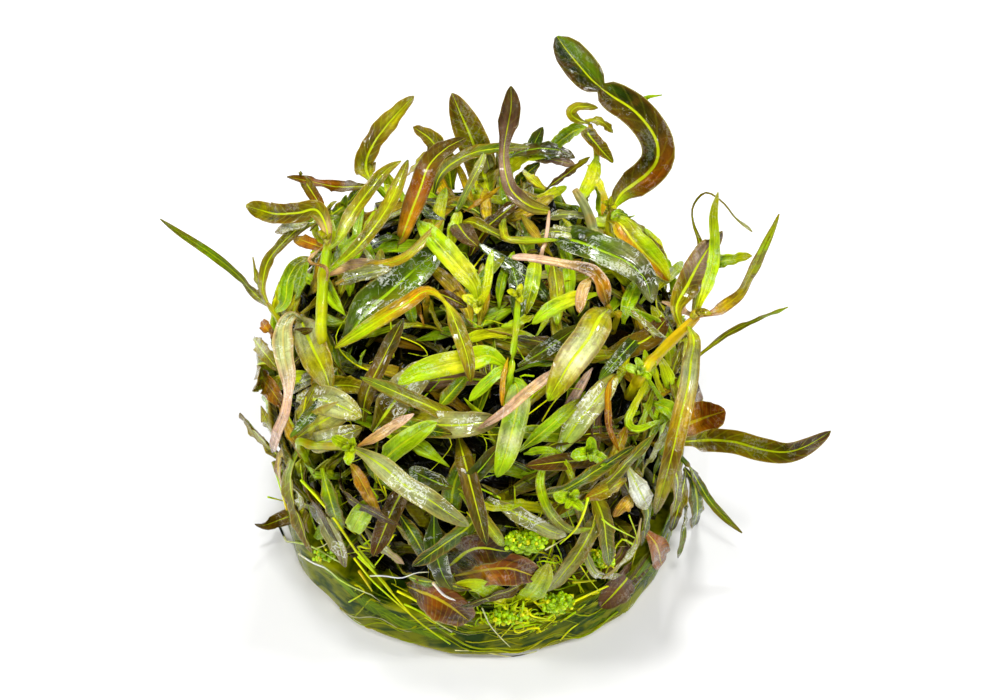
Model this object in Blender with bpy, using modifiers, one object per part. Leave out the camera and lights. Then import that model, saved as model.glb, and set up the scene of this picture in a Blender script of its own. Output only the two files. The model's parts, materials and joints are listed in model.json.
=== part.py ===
"""Clump of a slender-leaved stem plant, turned out of its culture cup on its cake of gel.

A flat round cake of nutrient gel carries a dense cushion of shoots. Stems stand on the gel
and rise through the cushion, and each leaf is a thin lens-shaped blade at its stem.
Metres, +Z up. The origin is the centre of the cake's flat underside, and +Y points to the back.
"""

import math
import random

import bmesh
import bpy
import numpy as np
from mathutils import Vector, noise

MM = 0.001

# The cake of gel
CAKE_RADIUS = 40 * MM
CAKE_HEIGHT = 12 * MM
CAKE_FOOT_ROUND = 2.2 * MM
CAKE_RIM_ROUND = 1.2 * MM
CAKE_STEPS = 40

# Play between pieces that touch, and round a stem in the cushion
GAP = 0.3 * MM
BORE_PLAY = 0.4 * MM

# The cushion of leaves: a slightly flared wall under a flattened dome
MOUND_FOOT_RADIUS = 38 * MM
MOUND_RADIUS = 41 * MM
MOUND_SHOULDER = 42 * MM
MOUND_TOP = 62 * MM
MOUND_ROUNDNESS = 2.6
MOUND_MERIDIANS = 32
MOUND_RINGS = 15
MOUND_FLOOR_SHARE = 0.1
LUMP_DEPTH = 5.0 * MM
LUMP_LEVEL = 0.3
LUMP_SIZE = 10 * MM
LUMP_STRETCH = 0.5
MOUND_LOWEST = 0.5 * MM
MOUND_PROFILE_POINTS = 60
LEAF_BED_REACH = 4.2 * MM
LEAF_BED_DEPTH = 6 * MM
LEAF_BED_GAP = 0.8 * MM
CAKE_ROOM_DEPTH = 10 * MM
CAKE_ROOM_RISE = 0.8 * GAP

# Leaves and stems
LEAF_THICKNESS = 0.5 * MM
LEAF_STEP = 3.9 * MM
LEAF_STEPS = (5, 13)
LEAF_NARROWEST = 0.25 * MM
LEAF_FACING = 0.6
LEAF_FULL_FROM, LEAF_FULL_TO = 0.45, 0.5
LEAF_TIP_POWERS = (2.2, 0.65)
LEAF_THIN_SHARE, LEAF_THICKENING = 0.3, 2
PAIR_FOLD = 14
PAIR_POINTS = 12
PAIR_ABOVE_STEM = 1.1 * MM
FUSED_FOLD = 13
LOW_LEAF_POINTS = 6
TUFT_POINTS = 5
PETIOLE_SHARE = 0.2
PETIOLE_CLEAR = 0.35
STEM_POINTS = 4
STEM_FOOT = 2.5 * MM
STEM_TAPER = 0.3
CURVE_FINENESS = 12
WELD = 0.01 * MM

# Small leaves that stand out of the cushion all round
TUFT_COUNT = 57
TUFT_SEED = 11
TUFT_TRIES = 80
TUFT_SHARES = (0.2, 0.94)
TUFT_CLEARANCE = 2.6 * MM
TUFT_ROOT = 4 * MM
TUFT_LENGTHS = (15 * MM, 25 * MM)
TUFT_WIDTHS = (3.6 * MM, 6 * MM)
TUFT_RISES = (0.06, 0.6)
TUFT_SHAPE = ((0.3, 0.35), (0.65, 0.6), (0.95, 0.65))
TUFT_LOWEST = 3 * MM
TUFT_PROUD = 2 * MM

# Reference view: a 1000 x 700 picture taken from in front, looking down on the clump.
# Leaves in it are placed by pixels across and down, and a lift in millimetres off the mound.
VIEW_WIDTH, VIEW_HEIGHT = 1000, 700
VIEW_TILT = math.radians(47)
VIEW_DISTANCE = 595 * MM
VIEW_FOCAL = 105 / 36 * VIEW_WIDTH
VIEW_AIM_ACROSS, VIEW_AIM_UP = 4.1 * MM, 31 * MM
SIGHT_REACH = (445 * MM, 725 * MM)
SIGHT_STEPS = 2800
OUTSIDE_LEAN = 0.45
OUTLINE_REACH = (0.75, 1.3)
OUTLINE_STEPS = 90

AHEAD = np.array([0, math.cos(VIEW_TILT), -math.sin(VIEW_TILT)])
UPWARD = np.array([0, math.sin(VIEW_TILT), math.cos(VIEW_TILT)])
ACROSS = np.array([1.0, 0, 0])
EYE = VIEW_AIM_ACROSS * ACROSS + VIEW_AIM_UP * UPWARD - VIEW_DISTANCE * AHEAD

LIME = (0.38, 0.52, 0.02)
GREEN = (0.10, 0.26, 0.02)
DARK_GREEN = (0.04, 0.08, 0.015)
OLIVE = (0.20, 0.22, 0.02)
BRONZE = (0.13, 0.08, 0.02)
PURPLE = (0.20, 0.11, 0.08)
PINK = (0.60, 0.32, 0.22)
ORANGE = (0.42, 0.20, 0.03)
GREY = (0.25, 0.28, 0.16)
CREAM = (0.55, 0.55, 0.22)
GEL = (0.35, 0.42, 0.05)

# Stems: radius in millimetres, foot on the gel (across, back) in millimetres, and the points
# that the view shows, from low to high, as (across, down, lift) or (across, down, lift, nearer).
STEMS = {
    "stem_left": (1.4, (-24, 14), LIME,
                  [(325, 345, 1), (322, 320, 4), (322, 290, 7), (326, 262, 9.5), (328, 244, 11)]),
    "stem_far_left": (0.8, (-31, 4), LIME, [(293, 346, 1), (283, 326, 2.5), (268, 304, 4)]),
    "stem_centre": (0.85, (3, -4), LIME,
                    [(508, 392, 0.8), (511, 372, 3), (513, 350, 5), (516, 328, 7), (518, 300, 9)]),
    "stem_right": (1.35, (24, -2), LIME,
                   [(636, 384, 0.8), (655, 358, 3), (672, 340, 5), (690, 325, 7), (697, 317, 8)]),
    "stem_thick": (1.25, (16, 20), GREEN, [(598, 252, 0), (589, 215, 4), (575, 190, 8)]),
    "stem_arch": (0.9, (26, 17), LIME, [(613, 252, 0.5), (608, 228, 4), (612, 209, 8)]),
    "stem_top": (0.8, (10, 28), LIME,
                 [(580, 214, 0), (590, 184, 4), (597, 155, 8), (590, 124, 8)]),
    "stem_whorl": (1.0, (-27, -14), LIME, [(300, 446, 0.8), (325, 446, 3), (350, 447, 6)]),
    "stem_upper_left": (0.8, (-16, 22), GREEN, [(392, 206, 0), (382, 192, 4), (371, 181, 7)]),
    "stem_pink": (0.5, (8, 14), PINK, [(540, 264, 0), (547, 232, 4), (549, 211, 6)]),
    "stem_olive": (0.7, (-10, 8), OLIVE, [(426, 312, 0), (428, 297, 5)]),
    "stem_cream": (0.8, (19, 6), OLIVE, [(616, 322, 0), (607, 304, 4)]),
    "stem_low_right": (0.7, (33, -7), GREEN, [(676, 452, 0), (689, 466, 3)]),
}

# Stems at the back, hidden from the view, which lean out of the cushion and turn up:
# radius, foot, and points (across, back, up) in millimetres.
BACK_STEMS = {
    "stem_back_left": (1.0, (-17, 24), LIME, [(-20, 36, 20), (-22, 44, 24), (-23, 48, 28)]),
    "stem_back": (1.1, (3, 29), OLIVE, [(4, 40, 23), (6, 47, 28), (7, 50, 32)]),
    "stem_back_right": (0.9, (21, 20), GREEN, [(26, 32, 17), (29, 38, 19), (30, 42, 23)]),
}

# Leaves: the stem and how far below its top in millimetres, or None for a leaf that stands on
# the thicket; then the greatest width in millimetres, fold and roll in degrees, colour, and
# the midrib from base to tip.
LEAVES = {
    "leaf_arch": (("stem_arch", 0), 6.2, 16, (0, 0), BRONZE,
                  [(621, 194, 9), (634, 184, 9), (647, 174, 9), (657, 160, 9), (657, 143, 9),
                   (648, 126, 9), (632, 109, 9), (612, 96, 9), (593, 81, 9), (578, 64, 9),
                   (565, 48, 9), (557, 36, 9)]),
    "leaf_arch_partner": (("stem_arch", 1.5), 1.9, 10, (0, 0), LIME,
                          [(626, 190, 8, -4), (645, 174, 8, -4), (653, 150, 8, -4),
                           (646, 122, 8, -4), (644, 100, 8, -4), (662, 95, 8, -4)]),
    "leaf_top_curl": (("stem_top", 0), 2.0, 10, (0, 0), PINK,
                      [(579, 121, 8), (571, 114, 8), (578, 107, 8), (598, 108, 8)]),
    "leaf_top_drop": (("stem_top", 3), 2.9, 25, (0, 30), PURPLE,
                      [(588, 134, 8, 3), (600, 149, 8, 3), (613, 163, 8, 3)]),
    "leaf_top_green": (("stem_top", 1.2), 3.2, 20, (0, 0), GREEN,
                       [(578, 130, 8), (566, 137, 8), (550, 151, 8)]),
    "leaf_orange_edge": (("stem_arch", 2.5), 5.0, 20, (0, 0), ORANGE,
                         [(620, 224, 7), (632, 240, 7), (646, 255, 6), (658, 267, 5), (669, 281, 4)]),
    "leaf_olive_broad": (None, 6.2, 12, (0, 0), OLIVE,
                         [(545, 235, 1), (572, 240, 4.5), (600, 250, 6), (628, 263, 6),
                          (645, 280, 5), (652, 303, 3)]),
    "leaf_grey_purple": (("stem_pink", 0), 3.6, 25, (0, 0), PURPLE,
                         [(530, 206, 7.5), (512, 191, 8), (505, 170, 8, 4), (504, 150, 8, 7),
                          (507, 130, 8, 7), (511, 108, 8, 7), (511, 86, 8, 7)]),
    "leaf_dark_upright": (None, 6.4, 14, (0, 0), DARK_GREEN,
                          [(490, 196, 1), (481, 165, 3, -2), (470, 135, 3, -2), (459, 110, 3, -2),
                           (452, 93, 3, -2)]),
    "leaf_folded_orange": (None, 4.2, 20, (0, 0), ORANGE,
                           [(398, 247, 1), (403, 235, 6), (411, 213, 8), (420, 190, 8, 4),
                            (429, 166, 8, 7), (446, 149, 8, 7), (466, 138, 8, 6)]),
    "leaf_brown_arch": (("stem_upper_left", 0), 4.6, 18, (0, 0), BRONZE,
                        [(366, 168, 7), (370, 151, 7), (381, 133, 7), (396, 115, 7), (414, 96, 7)]),
    "leaf_brown_level": (("stem_upper_left", 1.5), 2.8, 15, (0, 0), BRONZE,
                         [(358, 187, 7), (335, 187, 7), (310, 182, 7), (287, 177, 7)]),
    "leaf_olive_left": (("stem_left", 0), 4.0, 12, (0, 0), OLIVE,
                        [(326, 226, 11, 2), (316, 210, 11, 2), (298, 213, 11, 2),
                         (276, 214, 11, 2), (260, 210, 11, 2), (246, 206, 11, 2)]),
    "leaf_lime_long": (("stem_left", 1.5), 2.8, 20, (0, 0), LIME,
                       [(340, 238, 11, 3), (353, 213, 11, 3), (370, 190, 11, 4),
                        (386, 171, 11, 4), (401, 161, 11, 4)]),
    "leaf_olive_long": (("stem_left", 6), 2.7, 20, (0, 0), OLIVE,
                        [(346, 258, 10, 1), (366, 238, 11, 2), (385, 212, 11, 4),
                         (397, 188, 11, 6), (408, 160, 11, 7)]),
    "leaf_far_left": (("stem_far_left", 1.5), 1.8, 15, (0, 0), OLIVE,
                      [(256, 295, 4), (240, 277, 4), (220, 260, 4), (200, 246, 4),
                       (180, 233, 4), (160, 219, 4)]),
    "leaf_arching_left": (("stem_far_left", 0), 2.4, 15, (0, 0), OLIVE,
                          [(263, 288, 5), (268, 262, 6), (283, 243, 7), (300, 228, 7),
                           (320, 219, 6), (340, 217, 5)]),
    "leaf_green_left": (("stem_far_left", 3), 2.9, 20, (0, 0), GREEN,
                        [(285, 302, 5), (288, 281, 6), (296, 266, 6), (309, 257, 5)]),
    "leaf_speckled": (None, 7.6, 12, (0, 0), DARK_GREEN,
                      [(342, 346, 1), (366, 313, 3), (392, 290, 3.5), (420, 265, 3.5),
                       (441, 249, 3)]),
    "leaf_silver": (None, 2.8, 15, (0, 0), GREY,
                    [(434, 194, 1), (440, 176, 4, 2), (455, 162, 5, 3), (477, 152, 5, 3),
                     (505, 148, 5, 3), (530, 147, 5, 3)]),
    "leaf_lime_v": (None, 4.2, 14, (0, 0), LIME,
                    [(479, 309, 1), (474, 286, 4.5), (455, 262, 6), (436, 241, 6.5),
                     (418, 221, 6)]),
    "leaf_pair_olive": (None, 2.9, 16, (0, 0), OLIVE,
                        [(335, 348, 4), (355, 336, 5), (380, 320, 6), (406, 304, 7),
                         (428, 291, 7.2), (447, 305, 8), (460, 335, 8.5), (468, 360, 8.5),
                         (471, 382, 8)]),
    "leaf_pink_arch": (("stem_cream", 0), 2.6, 10, (0, 0), PINK,
                       [(604, 292, 7), (601, 281, 8.5), (590, 270, 9.5), (560, 263, 9.5),
                        (530, 258, 9), (512, 257, 8)]),
    "leaf_big_lime": (("stem_centre", 13), 4.4, 12, (0, 0), LIME,
                      [(490, 356, 5), (470, 360, 5), (440, 366, 5), (415, 374, 5),
                       (398, 384, 4.5)]),
    "leaf_white_speckle": (("stem_centre", 16), 4.6, 12, (0, 0), GREEN,
                           [(516, 384, 4.2), (518, 402, 4.2), (511, 435, 4.2), (504, 460, 4),
                            (497, 477, 3.5)]),
    "leaf_cream": (("stem_cream", 1.2), 6.4, 8, (0, 0), CREAM,
                   [(599, 319, 6), (588, 339, 7), (572, 360, 7), (560, 380, 6.5),
                    (548, 401, 5)]),
    "leaf_pink_strip": (None, 1.9, 30, (0, 0), PINK,
                        [(560, 366, 1), (545, 379, 4.5), (525, 394, 6.6), (503, 413, 6.6),
                         (478, 429, 4)]),
    "leaf_whorl_long": (("stem_whorl", 0), 4.0, 14, (0, 0), GREY,
                        [(366, 455, 6.5), (385, 468, 7), (405, 485, 7), (430, 500, 7),
                         (450, 514, 7), (469, 526, 6)]),
    "leaf_hanging_pink": (None, 4.0, 12, (0, 0), PINK,
                          [(302, 322, 1), (292, 316, 4), (284, 328, 5.5), (284, 352, 5.5),
                           (289, 380, 5), (286, 410, 5), (278, 432, 4), (272, 452, 3)]),
    "leaf_right_long": (("stem_right", 0), 2.3, 15, (0, 0), OLIVE,
                        [(712, 313, 8), (724, 306, 8), (739, 294, 8), (750, 275, 8),
                         (762, 250, 8), (772, 230, 8), (779, 214, 8)]),
    "leaf_right_upright": (("stem_right", 0.6), 2.6, 20, (0, 0), LIME,
                           [(700, 303, 9, 3), (705, 290, 9, 4), (712, 266, 9, 4),
                            (714, 240, 9, 4), (713, 215, 9, 4), (718, 192, 9, 4)]),
    "leaf_right_purple": (("stem_right", 4), 5.0, 16, (0, 0), PURPLE,
                          [(676, 308, 7), (688, 284, 8), (699, 263, 8), (710, 246, 8),
                           (722, 231, 8)]),
    "leaf_right_folded": (("stem_right", 1.5), 3.0, 25, (0, 0), BRONZE,
                          [(697, 300, 8, -4), (701, 282, 8, -4), (702, 262, 8, -4),
                           (699, 242, 8, -4), (693, 224, 8, -4), (692, 209, 8, -4),
                           (698, 198, 8, -4), (708, 193, 8, -4), (723, 203, 8, -4),
                           (736, 219, 8, -4), (752, 232, 8, -4)]),
    "leaf_right_hanging": (("stem_right", 2.5), 3.6, 15, (0, 0), GREY,
                           [(694, 341, 9, 3), (691, 360, 8), (688, 385, 7), (681, 415, 6.5),
                            (673, 450, 6), (665, 480, 5.5), (655, 514, 5)]),
    "leaf_round_orange": (None, 7.8, 8, (0, 0), ORANGE,
                          [(678, 428, 1, -2), (690, 423, 2, -3), (706, 417, 2, -3),
                           (725, 411, 2, -3)]),
    "leaf_brown_long": (None, 4.4, 16, (0, 0), BRONZE,
                        [(674, 443, 1), (690, 441, 4, 2), (710, 440, 5, 3), (735, 442, 6, 3),
                         (760, 449, 6, 3), (785, 452, 6, 3), (806, 446, 6, 3),
                         (831, 431, 6, 3)]),
    "leaf_green_narrow": (("stem_low_right", 0), 1.9, 15, (0, 0), GREEN,
                          [(699, 484, 4), (711, 503, 4), (726, 519, 4), (742, 533, 4)]),
}

# Outlines that aren't plain lance shapes, as (share of length, share of the greatest width)
OUTLINES = {
    "leaf_arch": [(0, 0.12), (0.06, 0.45), (0.2, 0.85), (0.42, 1), (0.6, 0.88), (0.69, 0.5),
                  (0.745, 0.2), (0.79, 0.6), (0.88, 0.88), (0.96, 0.6), (1, 0)],
    "leaf_hanging_pink": [(0, 0.15), (0.1, 0.7), (0.25, 1), (0.4, 0.85), (0.5, 0.45),
                          (0.62, 0.5), (0.82, 0.62), (0.94, 0.45), (1, 0)],
    "leaf_right_folded": [(0, 0.15), (0.15, 0.8), (0.35, 1), (0.48, 0.8), (0.56, 0.35),
                          (0.64, 0.17), (0.92, 0.17), (0.97, 0.4), (1, 0)],
    "leaf_round_orange": [(0, 0.25), (0.2, 0.75), (0.45, 1), (0.7, 0.95), (0.9, 0.6), (1, 0)],
}

# A traced pair of leaves: the share of its length at which the two meet on their stem
PAIR_NODES = {"leaf_pair_olive": 0.57}

# Leaf pairs at the back: the stem's top that they clasp, and the ends (across, back, up)
BACK_PAIRS = {
    "leaf_pair_back_left": ("stem_back_left", 3.8, OLIVE,
                            [(-34, 46, 17), (-33, 49, 25), (-28, 50, 30)],
                            [(-17, 51, 30), (-10, 53, 25), (-7, 53, 17)]),
    "leaf_pair_back": ("stem_back", 4.6, BRONZE,
                       [(-10, 52, 31), (-3, 52, 34.5)],
                       [(14, 53, 32), (20, 54.5, 25), (22, 53, 16)]),
    "leaf_pair_back_right": ("stem_back_right", 3.6, LIME,
                             [(32, 50, 14), (31, 47.5, 21)],
                             [(29, 40, 31), (28, 38.5, 38), (26, 36, 45)]),
}

# Leaves fused to the thicket because they lie in it: greatest width, and the midrib
LOW_LEAVES = [
    (4.6, [(452, 190, -3), (447, 166, 3, -3), (433, 143, 3, -3), (413, 127, 3, -3)]),
    (3.2, [(292, 468, -3), (270, 446, 3), (255, 430, 3), (240, 413, 3)]),
    (3.2, [(308, 508, -3), (285, 518, 2.5), (268, 524, 3), (255, 524, 3)]),
    (2.8, [(700, 290, -3), (712, 270, 4, -7), (735, 260, 4, -7), (752, 257, 4, -7)]),
    (1.2, [(684, 372, -3), (697, 357, 3), (730, 332, 4), (760, 318, 4), (788, 307, 4)]),
    (3.8, [(684, 468, -3), (693, 482, 2), (697, 505, 2.5), (694, 529, 2)]),
    (2.0, [(674, 482, -3), (685, 505, 5), (684, 528, 5.5), (678, 558, 5)]),
    (5.0, [(402, 413, -3), (430, 424, 1), (465, 425, 1.5), (500, 420, 1)]),
    (3.8, [(380, 464, -3), (397, 448, 2), (420, 432, 2.5), (437, 422, 2)]),
    (4.2, [(597, 357, -3), (625, 349, 0.8), (650, 337, 0.8), (667, 318, 0.5)]),
    (3.8, [(308, 490, -3), (325, 520, 1.2), (340, 546, 1.5), (345, 567, 1.5)]),
    (6.0, [(448, 576, -3), (475, 564, 1), (515, 564, 1.5), (540, 575, 1)]),
    (3.4, [(516, 606, -3), (495, 598, 2), (474, 588, 2.5), (454, 586, 2)]),
    (4.4, [(520, 608, -3), (531, 594, 2), (542, 578, 2.5), (548, 563, 2)]),
    (3.4, [(606, 498, -3), (595, 522, 1.5), (576, 556, 1.8), (548, 591, 1.5)]),
    (1.9, [(556, 452, -3), (545, 465, 2.5), (540, 485, 3), (550, 512, 3), (570, 530, 2.5),
           (592, 528, 1.5)]),
    (4.4, [(556, 456, -3), (575, 426, 1.5), (595, 401, 2), (617, 374, 1.5)]),
    (5.0, [(396, 592, -3), (425, 590, 1), (455, 602, 1.2), (473, 618, 1)]),
    (2.6, [(350, 462, -3), (360, 478, 2.5), (370, 497, 3), (380, 518, 2.5)]),
]

CALLUS_PLACE = (527, 541, 1.5)
CALLUS_RADII = (4.0 * MM, 3.0 * MM, 2.6 * MM)
CALLUS_KNOBS = ((3.1, 0.22), (7.0, 0.12))


def mound_lift(points):
    """Height of each point above the mound's plain outline, along the outline's normal."""
    radius = np.hypot(points[..., 0], points[..., 1])
    up = points[..., 2]
    flare = (MOUND_RADIUS - MOUND_FOOT_RADIUS) / MOUND_SHOULDER
    wall = radius - (MOUND_FOOT_RADIUS + flare * np.clip(up, 0, MOUND_SHOULDER))
    across = np.maximum(radius, 1e-6) / MOUND_RADIUS
    above = np.maximum(up - MOUND_SHOULDER, 1e-6) / (MOUND_TOP - MOUND_SHOULDER)
    power = MOUND_ROUNDNESS
    level = (across ** power + above ** power) ** (1 / power)
    slope = level ** (1 - power) * np.hypot(
        across ** (power - 1) / MOUND_RADIUS,
        above ** (power - 1) / (MOUND_TOP - MOUND_SHOULDER),
    )
    return np.where(up < MOUND_SHOULDER, wall, (level - 1) / slope)


def mound_normal(point):
    """Outward direction of the mound's outline nearest to a point."""
    step = 0.2 * MM
    shifts = np.eye(3) * step
    slope = np.array([mound_lift(point + s) - mound_lift(point - s) for s in shifts])
    return slope / np.linalg.norm(slope)


def place(across, down, lift, nearer=0.0):
    """The point that a pixel of the reference view shows, at a lift off the mound.

    Where the pixel's line of sight passes the mound, the point is the one that comes nearest
    to it, leaned towards the lens, so that a leaf stands up instead of falling away.
    """
    sight = (AHEAD + ACROSS * (across - VIEW_WIDTH / 2) / VIEW_FOCAL
             - UPWARD * (down - VIEW_HEIGHT / 2) / VIEW_FOCAL)
    depth = np.linspace(*SIGHT_REACH, SIGHT_STEPS)
    points = EYE + depth[:, None] * sight
    heights = mound_lift(points) - lift * MM
    below = np.nonzero(heights < 0)[0]
    if len(below):
        k = below[0]
        share = heights[k - 1] / (heights[k - 1] - heights[k])
        found = points[k - 1] + share * (points[k] - points[k - 1])
    else:
        k = heights.argmin()
        found = points[k] - OUTSIDE_LEAN * heights[k] * sight
    return found - nearer * MM * sight


def smooth_path(points, count):
    """count points, evenly spaced along a rounded curve through the given points."""
    points = np.asarray(points, float)
    ends = [2 * points[0] - points[1], *points, 2 * points[-1] - points[-2]]
    t = np.linspace(0, 1, CURVE_FINENESS, endpoint=False)[:, None]
    runs = []
    for a, b, c, d in zip(ends, ends[1:], ends[2:], ends[3:]):
        runs.append(0.5 * (2 * b + (c - a) * t + (2 * a - 5 * b + 4 * c - d) * t ** 2
                           + (3 * b - a - 3 * c + d) * t ** 3))
    dense = np.vstack([*runs, points[-1:]])
    length = np.concatenate([[0], np.cumsum(np.linalg.norm(np.diff(dense, axis=0), axis=1))])
    even = np.linspace(0, length[-1], count)
    return np.column_stack([np.interp(even, length, dense[:, k]) for k in range(3)])


def lance_width(share):
    """Width of a lance-shaped leaf at a share of its length, as a share of the greatest."""
    rise = np.clip(share / LEAF_FULL_FROM, 0, 1)
    rise = PETIOLE_SHARE + (1 - PETIOLE_SHARE) * rise ** 2 * (3 - 2 * rise)
    fall = np.clip((share - LEAF_FULL_TO) / (1 - LEAF_FULL_TO), 0, 1)
    return rise * (1 - fall ** LEAF_TIP_POWERS[0]) ** LEAF_TIP_POWERS[1]


def outline_of(name, share, node):
    """Width at each share of the length: a special outline, a pair that meets at its node,
    or a plain leaf."""
    if name in OUTLINES:
        shares, widths = zip(*OUTLINES[name])
        return np.interp(share, shares, widths)
    if node:
        return np.where(share < node, lance_width((node - share) / node),
                        lance_width((share - node) / (1 - node)))
    return lance_width(share)


def blade(path, widths, fold, rolls, facing):
    """Points of a leaf: left edge, upper rib, right edge and lower rib at each step.

    The blade faces between the mound's outward direction and the lens, and is then rolled
    about its rib. Both edges rise with the fold.
    """
    along = np.gradient(path, axis=0)
    along /= np.linalg.norm(along, axis=1)[:, None]
    out = np.array([(1 - facing) * mound_normal(p) - facing * AHEAD for p in path])
    side = np.cross(along, out)
    side /= np.linalg.norm(side, axis=1)[:, None]
    out = np.cross(side, along)
    roll = np.radians(np.linspace(rolls[0], rolls[1], len(path)))[:, None]
    side, out = (side * np.cos(roll) + out * np.sin(roll),
                 out * np.cos(roll) - side * np.sin(roll))
    half = widths[:, None] / 2
    rise = half * math.tan(math.radians(fold))
    fullness = np.minimum(1, LEAF_THIN_SHARE + LEAF_THICKENING * widths / widths.max())
    thick = LEAF_THICKNESS / 2 * fullness[:, None]
    return np.stack([path - side * half + out * rise, path + out * thick,
                     path + side * half + out * rise, path - out * thick], axis=1)


def blade_mesh(name, sections, path, blunt_start=True):
    """A closed mesh through four-point sections, with a small flat base and a pointed tip."""
    rings = sections[:-1] if blunt_start else sections[1:-1]
    points = [*rings.reshape(-1, 3), path[-1]]
    tip = len(points) - 1
    faces = []
    for k in range(len(rings) - 1):
        for a in range(4):
            b = (a + 1) % 4
            faces.append((4 * k + a, 4 * k + 4 + a, 4 * k + 4 + b, 4 * k + b))
    last = 4 * (len(rings) - 1)
    for a in range(4):
        faces.append((last + a, tip, last + (a + 1) % 4))
    if blunt_start:
        faces.append((0, 1, 2, 3))
    else:
        points.append(path[0])
        for a in range(4):
            faces.append((a, (a + 1) % 4, tip + 1))
    mesh = bpy.data.meshes.new(name)
    mesh.from_pydata([tuple(p) for p in points], [], faces)
    frame = bmesh.new()
    frame.from_mesh(mesh)
    bmesh.ops.recalc_face_normals(frame, faces=frame.faces)
    bmesh.ops.triangulate(frame, faces=frame.faces)
    frame.to_mesh(mesh)
    frame.free()
    return mesh


def principled(name, colour, roughness=0.25):
    material = bpy.data.materials.new(name)
    material.use_nodes = True
    shader = material.node_tree.nodes["Principled BSDF"]
    shader.inputs["Base Color"].default_value = (*colour, 1)
    shader.inputs["Roughness"].default_value = roughness
    shader.inputs["Metallic"].default_value = 0
    return material


def add_object(name, mesh, colour, collection):
    thing = bpy.data.objects.new(name, mesh)
    collection.objects.link(thing)
    if colour is not None:
        mesh.materials.append(principled(name, colour))
    return thing


def stem_path(foot, points):
    """The stem's line from its foot just above the gel, through its seen points."""
    start = np.array([foot[0] * MM, foot[1] * MM, CAKE_HEIGHT + GAP])
    upright = start + np.array([0, 0, STEM_FOOT])
    return np.vstack([start, upright, smooth_path(points, STEM_POINTS)])


def make_stem(name, radius, path, colour, collection):
    """A round stem with filled caps, thinner towards its top."""
    curve = bpy.data.curves.new(name, "CURVE")
    curve.dimensions = "3D"
    curve.bevel_depth = radius
    curve.bevel_resolution = 2
    curve.use_fill_caps = True
    line = curve.splines.new("POLY")
    line.points.add(len(path) - 1)
    for k, (point, place_at) in enumerate(zip(line.points, path)):
        point.co = (*place_at, 1)
        point.radius = 1 - STEM_TAPER * k / (len(path) - 1)
    return add_object(name, curve, colour, collection)


def mesh_of_curve(thing, collection):
    """Turns a curve object into a mesh object with welded caps, and removes the curve."""
    depsgraph = bpy.context.evaluated_depsgraph_get()
    mesh = bpy.data.meshes.new_from_object(thing.evaluated_get(depsgraph))
    frame = bmesh.new()
    frame.from_mesh(mesh)
    bmesh.ops.remove_doubles(frame, verts=frame.verts, dist=WELD)
    bmesh.ops.recalc_face_normals(frame, faces=frame.faces)
    frame.to_mesh(mesh)
    frame.free()
    made = bpy.data.objects.new(thing.name + "_solid", mesh)
    made.matrix_world = thing.matrix_world
    collection.objects.link(made)
    bpy.data.objects.remove(thing)
    return made


def leaf_start(stem, drop, towards, width):
    """Where a leaf leaves its stem: on the stem's skin, a drop below its top."""
    radius, path = stem
    steps = np.linalg.norm(np.diff(path, axis=0), axis=1)
    below_top = np.concatenate([np.cumsum(steps[::-1])[::-1], [0]])
    k = len(path) - 1 - np.searchsorted(below_top[::-1], drop * MM, side="right")
    k = min(max(k, 0), len(path) - 2)
    direction = (path[k + 1] - path[k]) / steps[k]
    centre = path[k] + direction * (below_top[k] - drop * MM)
    away = towards - centre
    if drop > 0:
        away -= direction * (away @ direction)
    away /= np.linalg.norm(away)
    skin = radius * (1 - STEM_TAPER * (k + 1) / (len(path) - 1))
    return centre + away * (skin + GAP + PETIOLE_CLEAR * PETIOLE_SHARE * width)


def make_leaf(name, path, width, fold, rolls, colour, collection,
              facing=LEAF_FACING, node=None):
    """Adds a leaf, or a pair that meets at its node, and returns the points of its skin."""
    share = np.linspace(0, 1, len(path))
    widths = np.maximum(outline_of(name, share, node) * width, LEAF_NARROWEST)
    sections = blade(path, widths, fold, rolls, facing)
    add_object(name, blade_mesh(name, sections, path, blunt_start=not node), colour, collection)
    return sections.reshape(-1, 3)


def leaf_steps(points):
    """Enough steps for a leaf's length and bends."""
    length = np.linalg.norm(np.diff(points, axis=0), axis=1).sum()
    return int(np.clip(length / LEAF_STEP, *LEAF_STEPS)) + 1


def make_cake(collection):
    """The gel: a turned disc with a rounded foot and rim."""
    profile = [(0, CAKE_HEIGHT), (CAKE_RADIUS - CAKE_RIM_ROUND, CAKE_HEIGHT)]
    for centre_z, corner, size in (
        (CAKE_HEIGHT - CAKE_RIM_ROUND, 90, CAKE_RIM_ROUND), (CAKE_FOOT_ROUND, 0, CAKE_FOOT_ROUND),
    ):
        for turn in (45, 90) if corner else (0, 45, 90):
            angle = math.radians(corner - turn)
            profile.append((CAKE_RADIUS - size + size * math.cos(angle),
                            centre_z + size * math.sin(angle)))
    profile.append((0, 0))
    mesh = bpy.data.meshes.new("gel_cake")
    mesh.from_pydata([(x, 0, z) for x, z in profile],
                     [(k, k + 1) for k in range(len(profile) - 1)], [])
    cake = add_object("gel_cake", mesh, GEL, collection)
    turn = cake.modifiers.new("turn", "SCREW")
    turn.steps = CAKE_STEPS
    turn.render_steps = CAKE_STEPS
    turn.use_merge_vertices = True
    turn.merge_threshold = WELD
    turn.use_normal_calculate = True
    return cake


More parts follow.
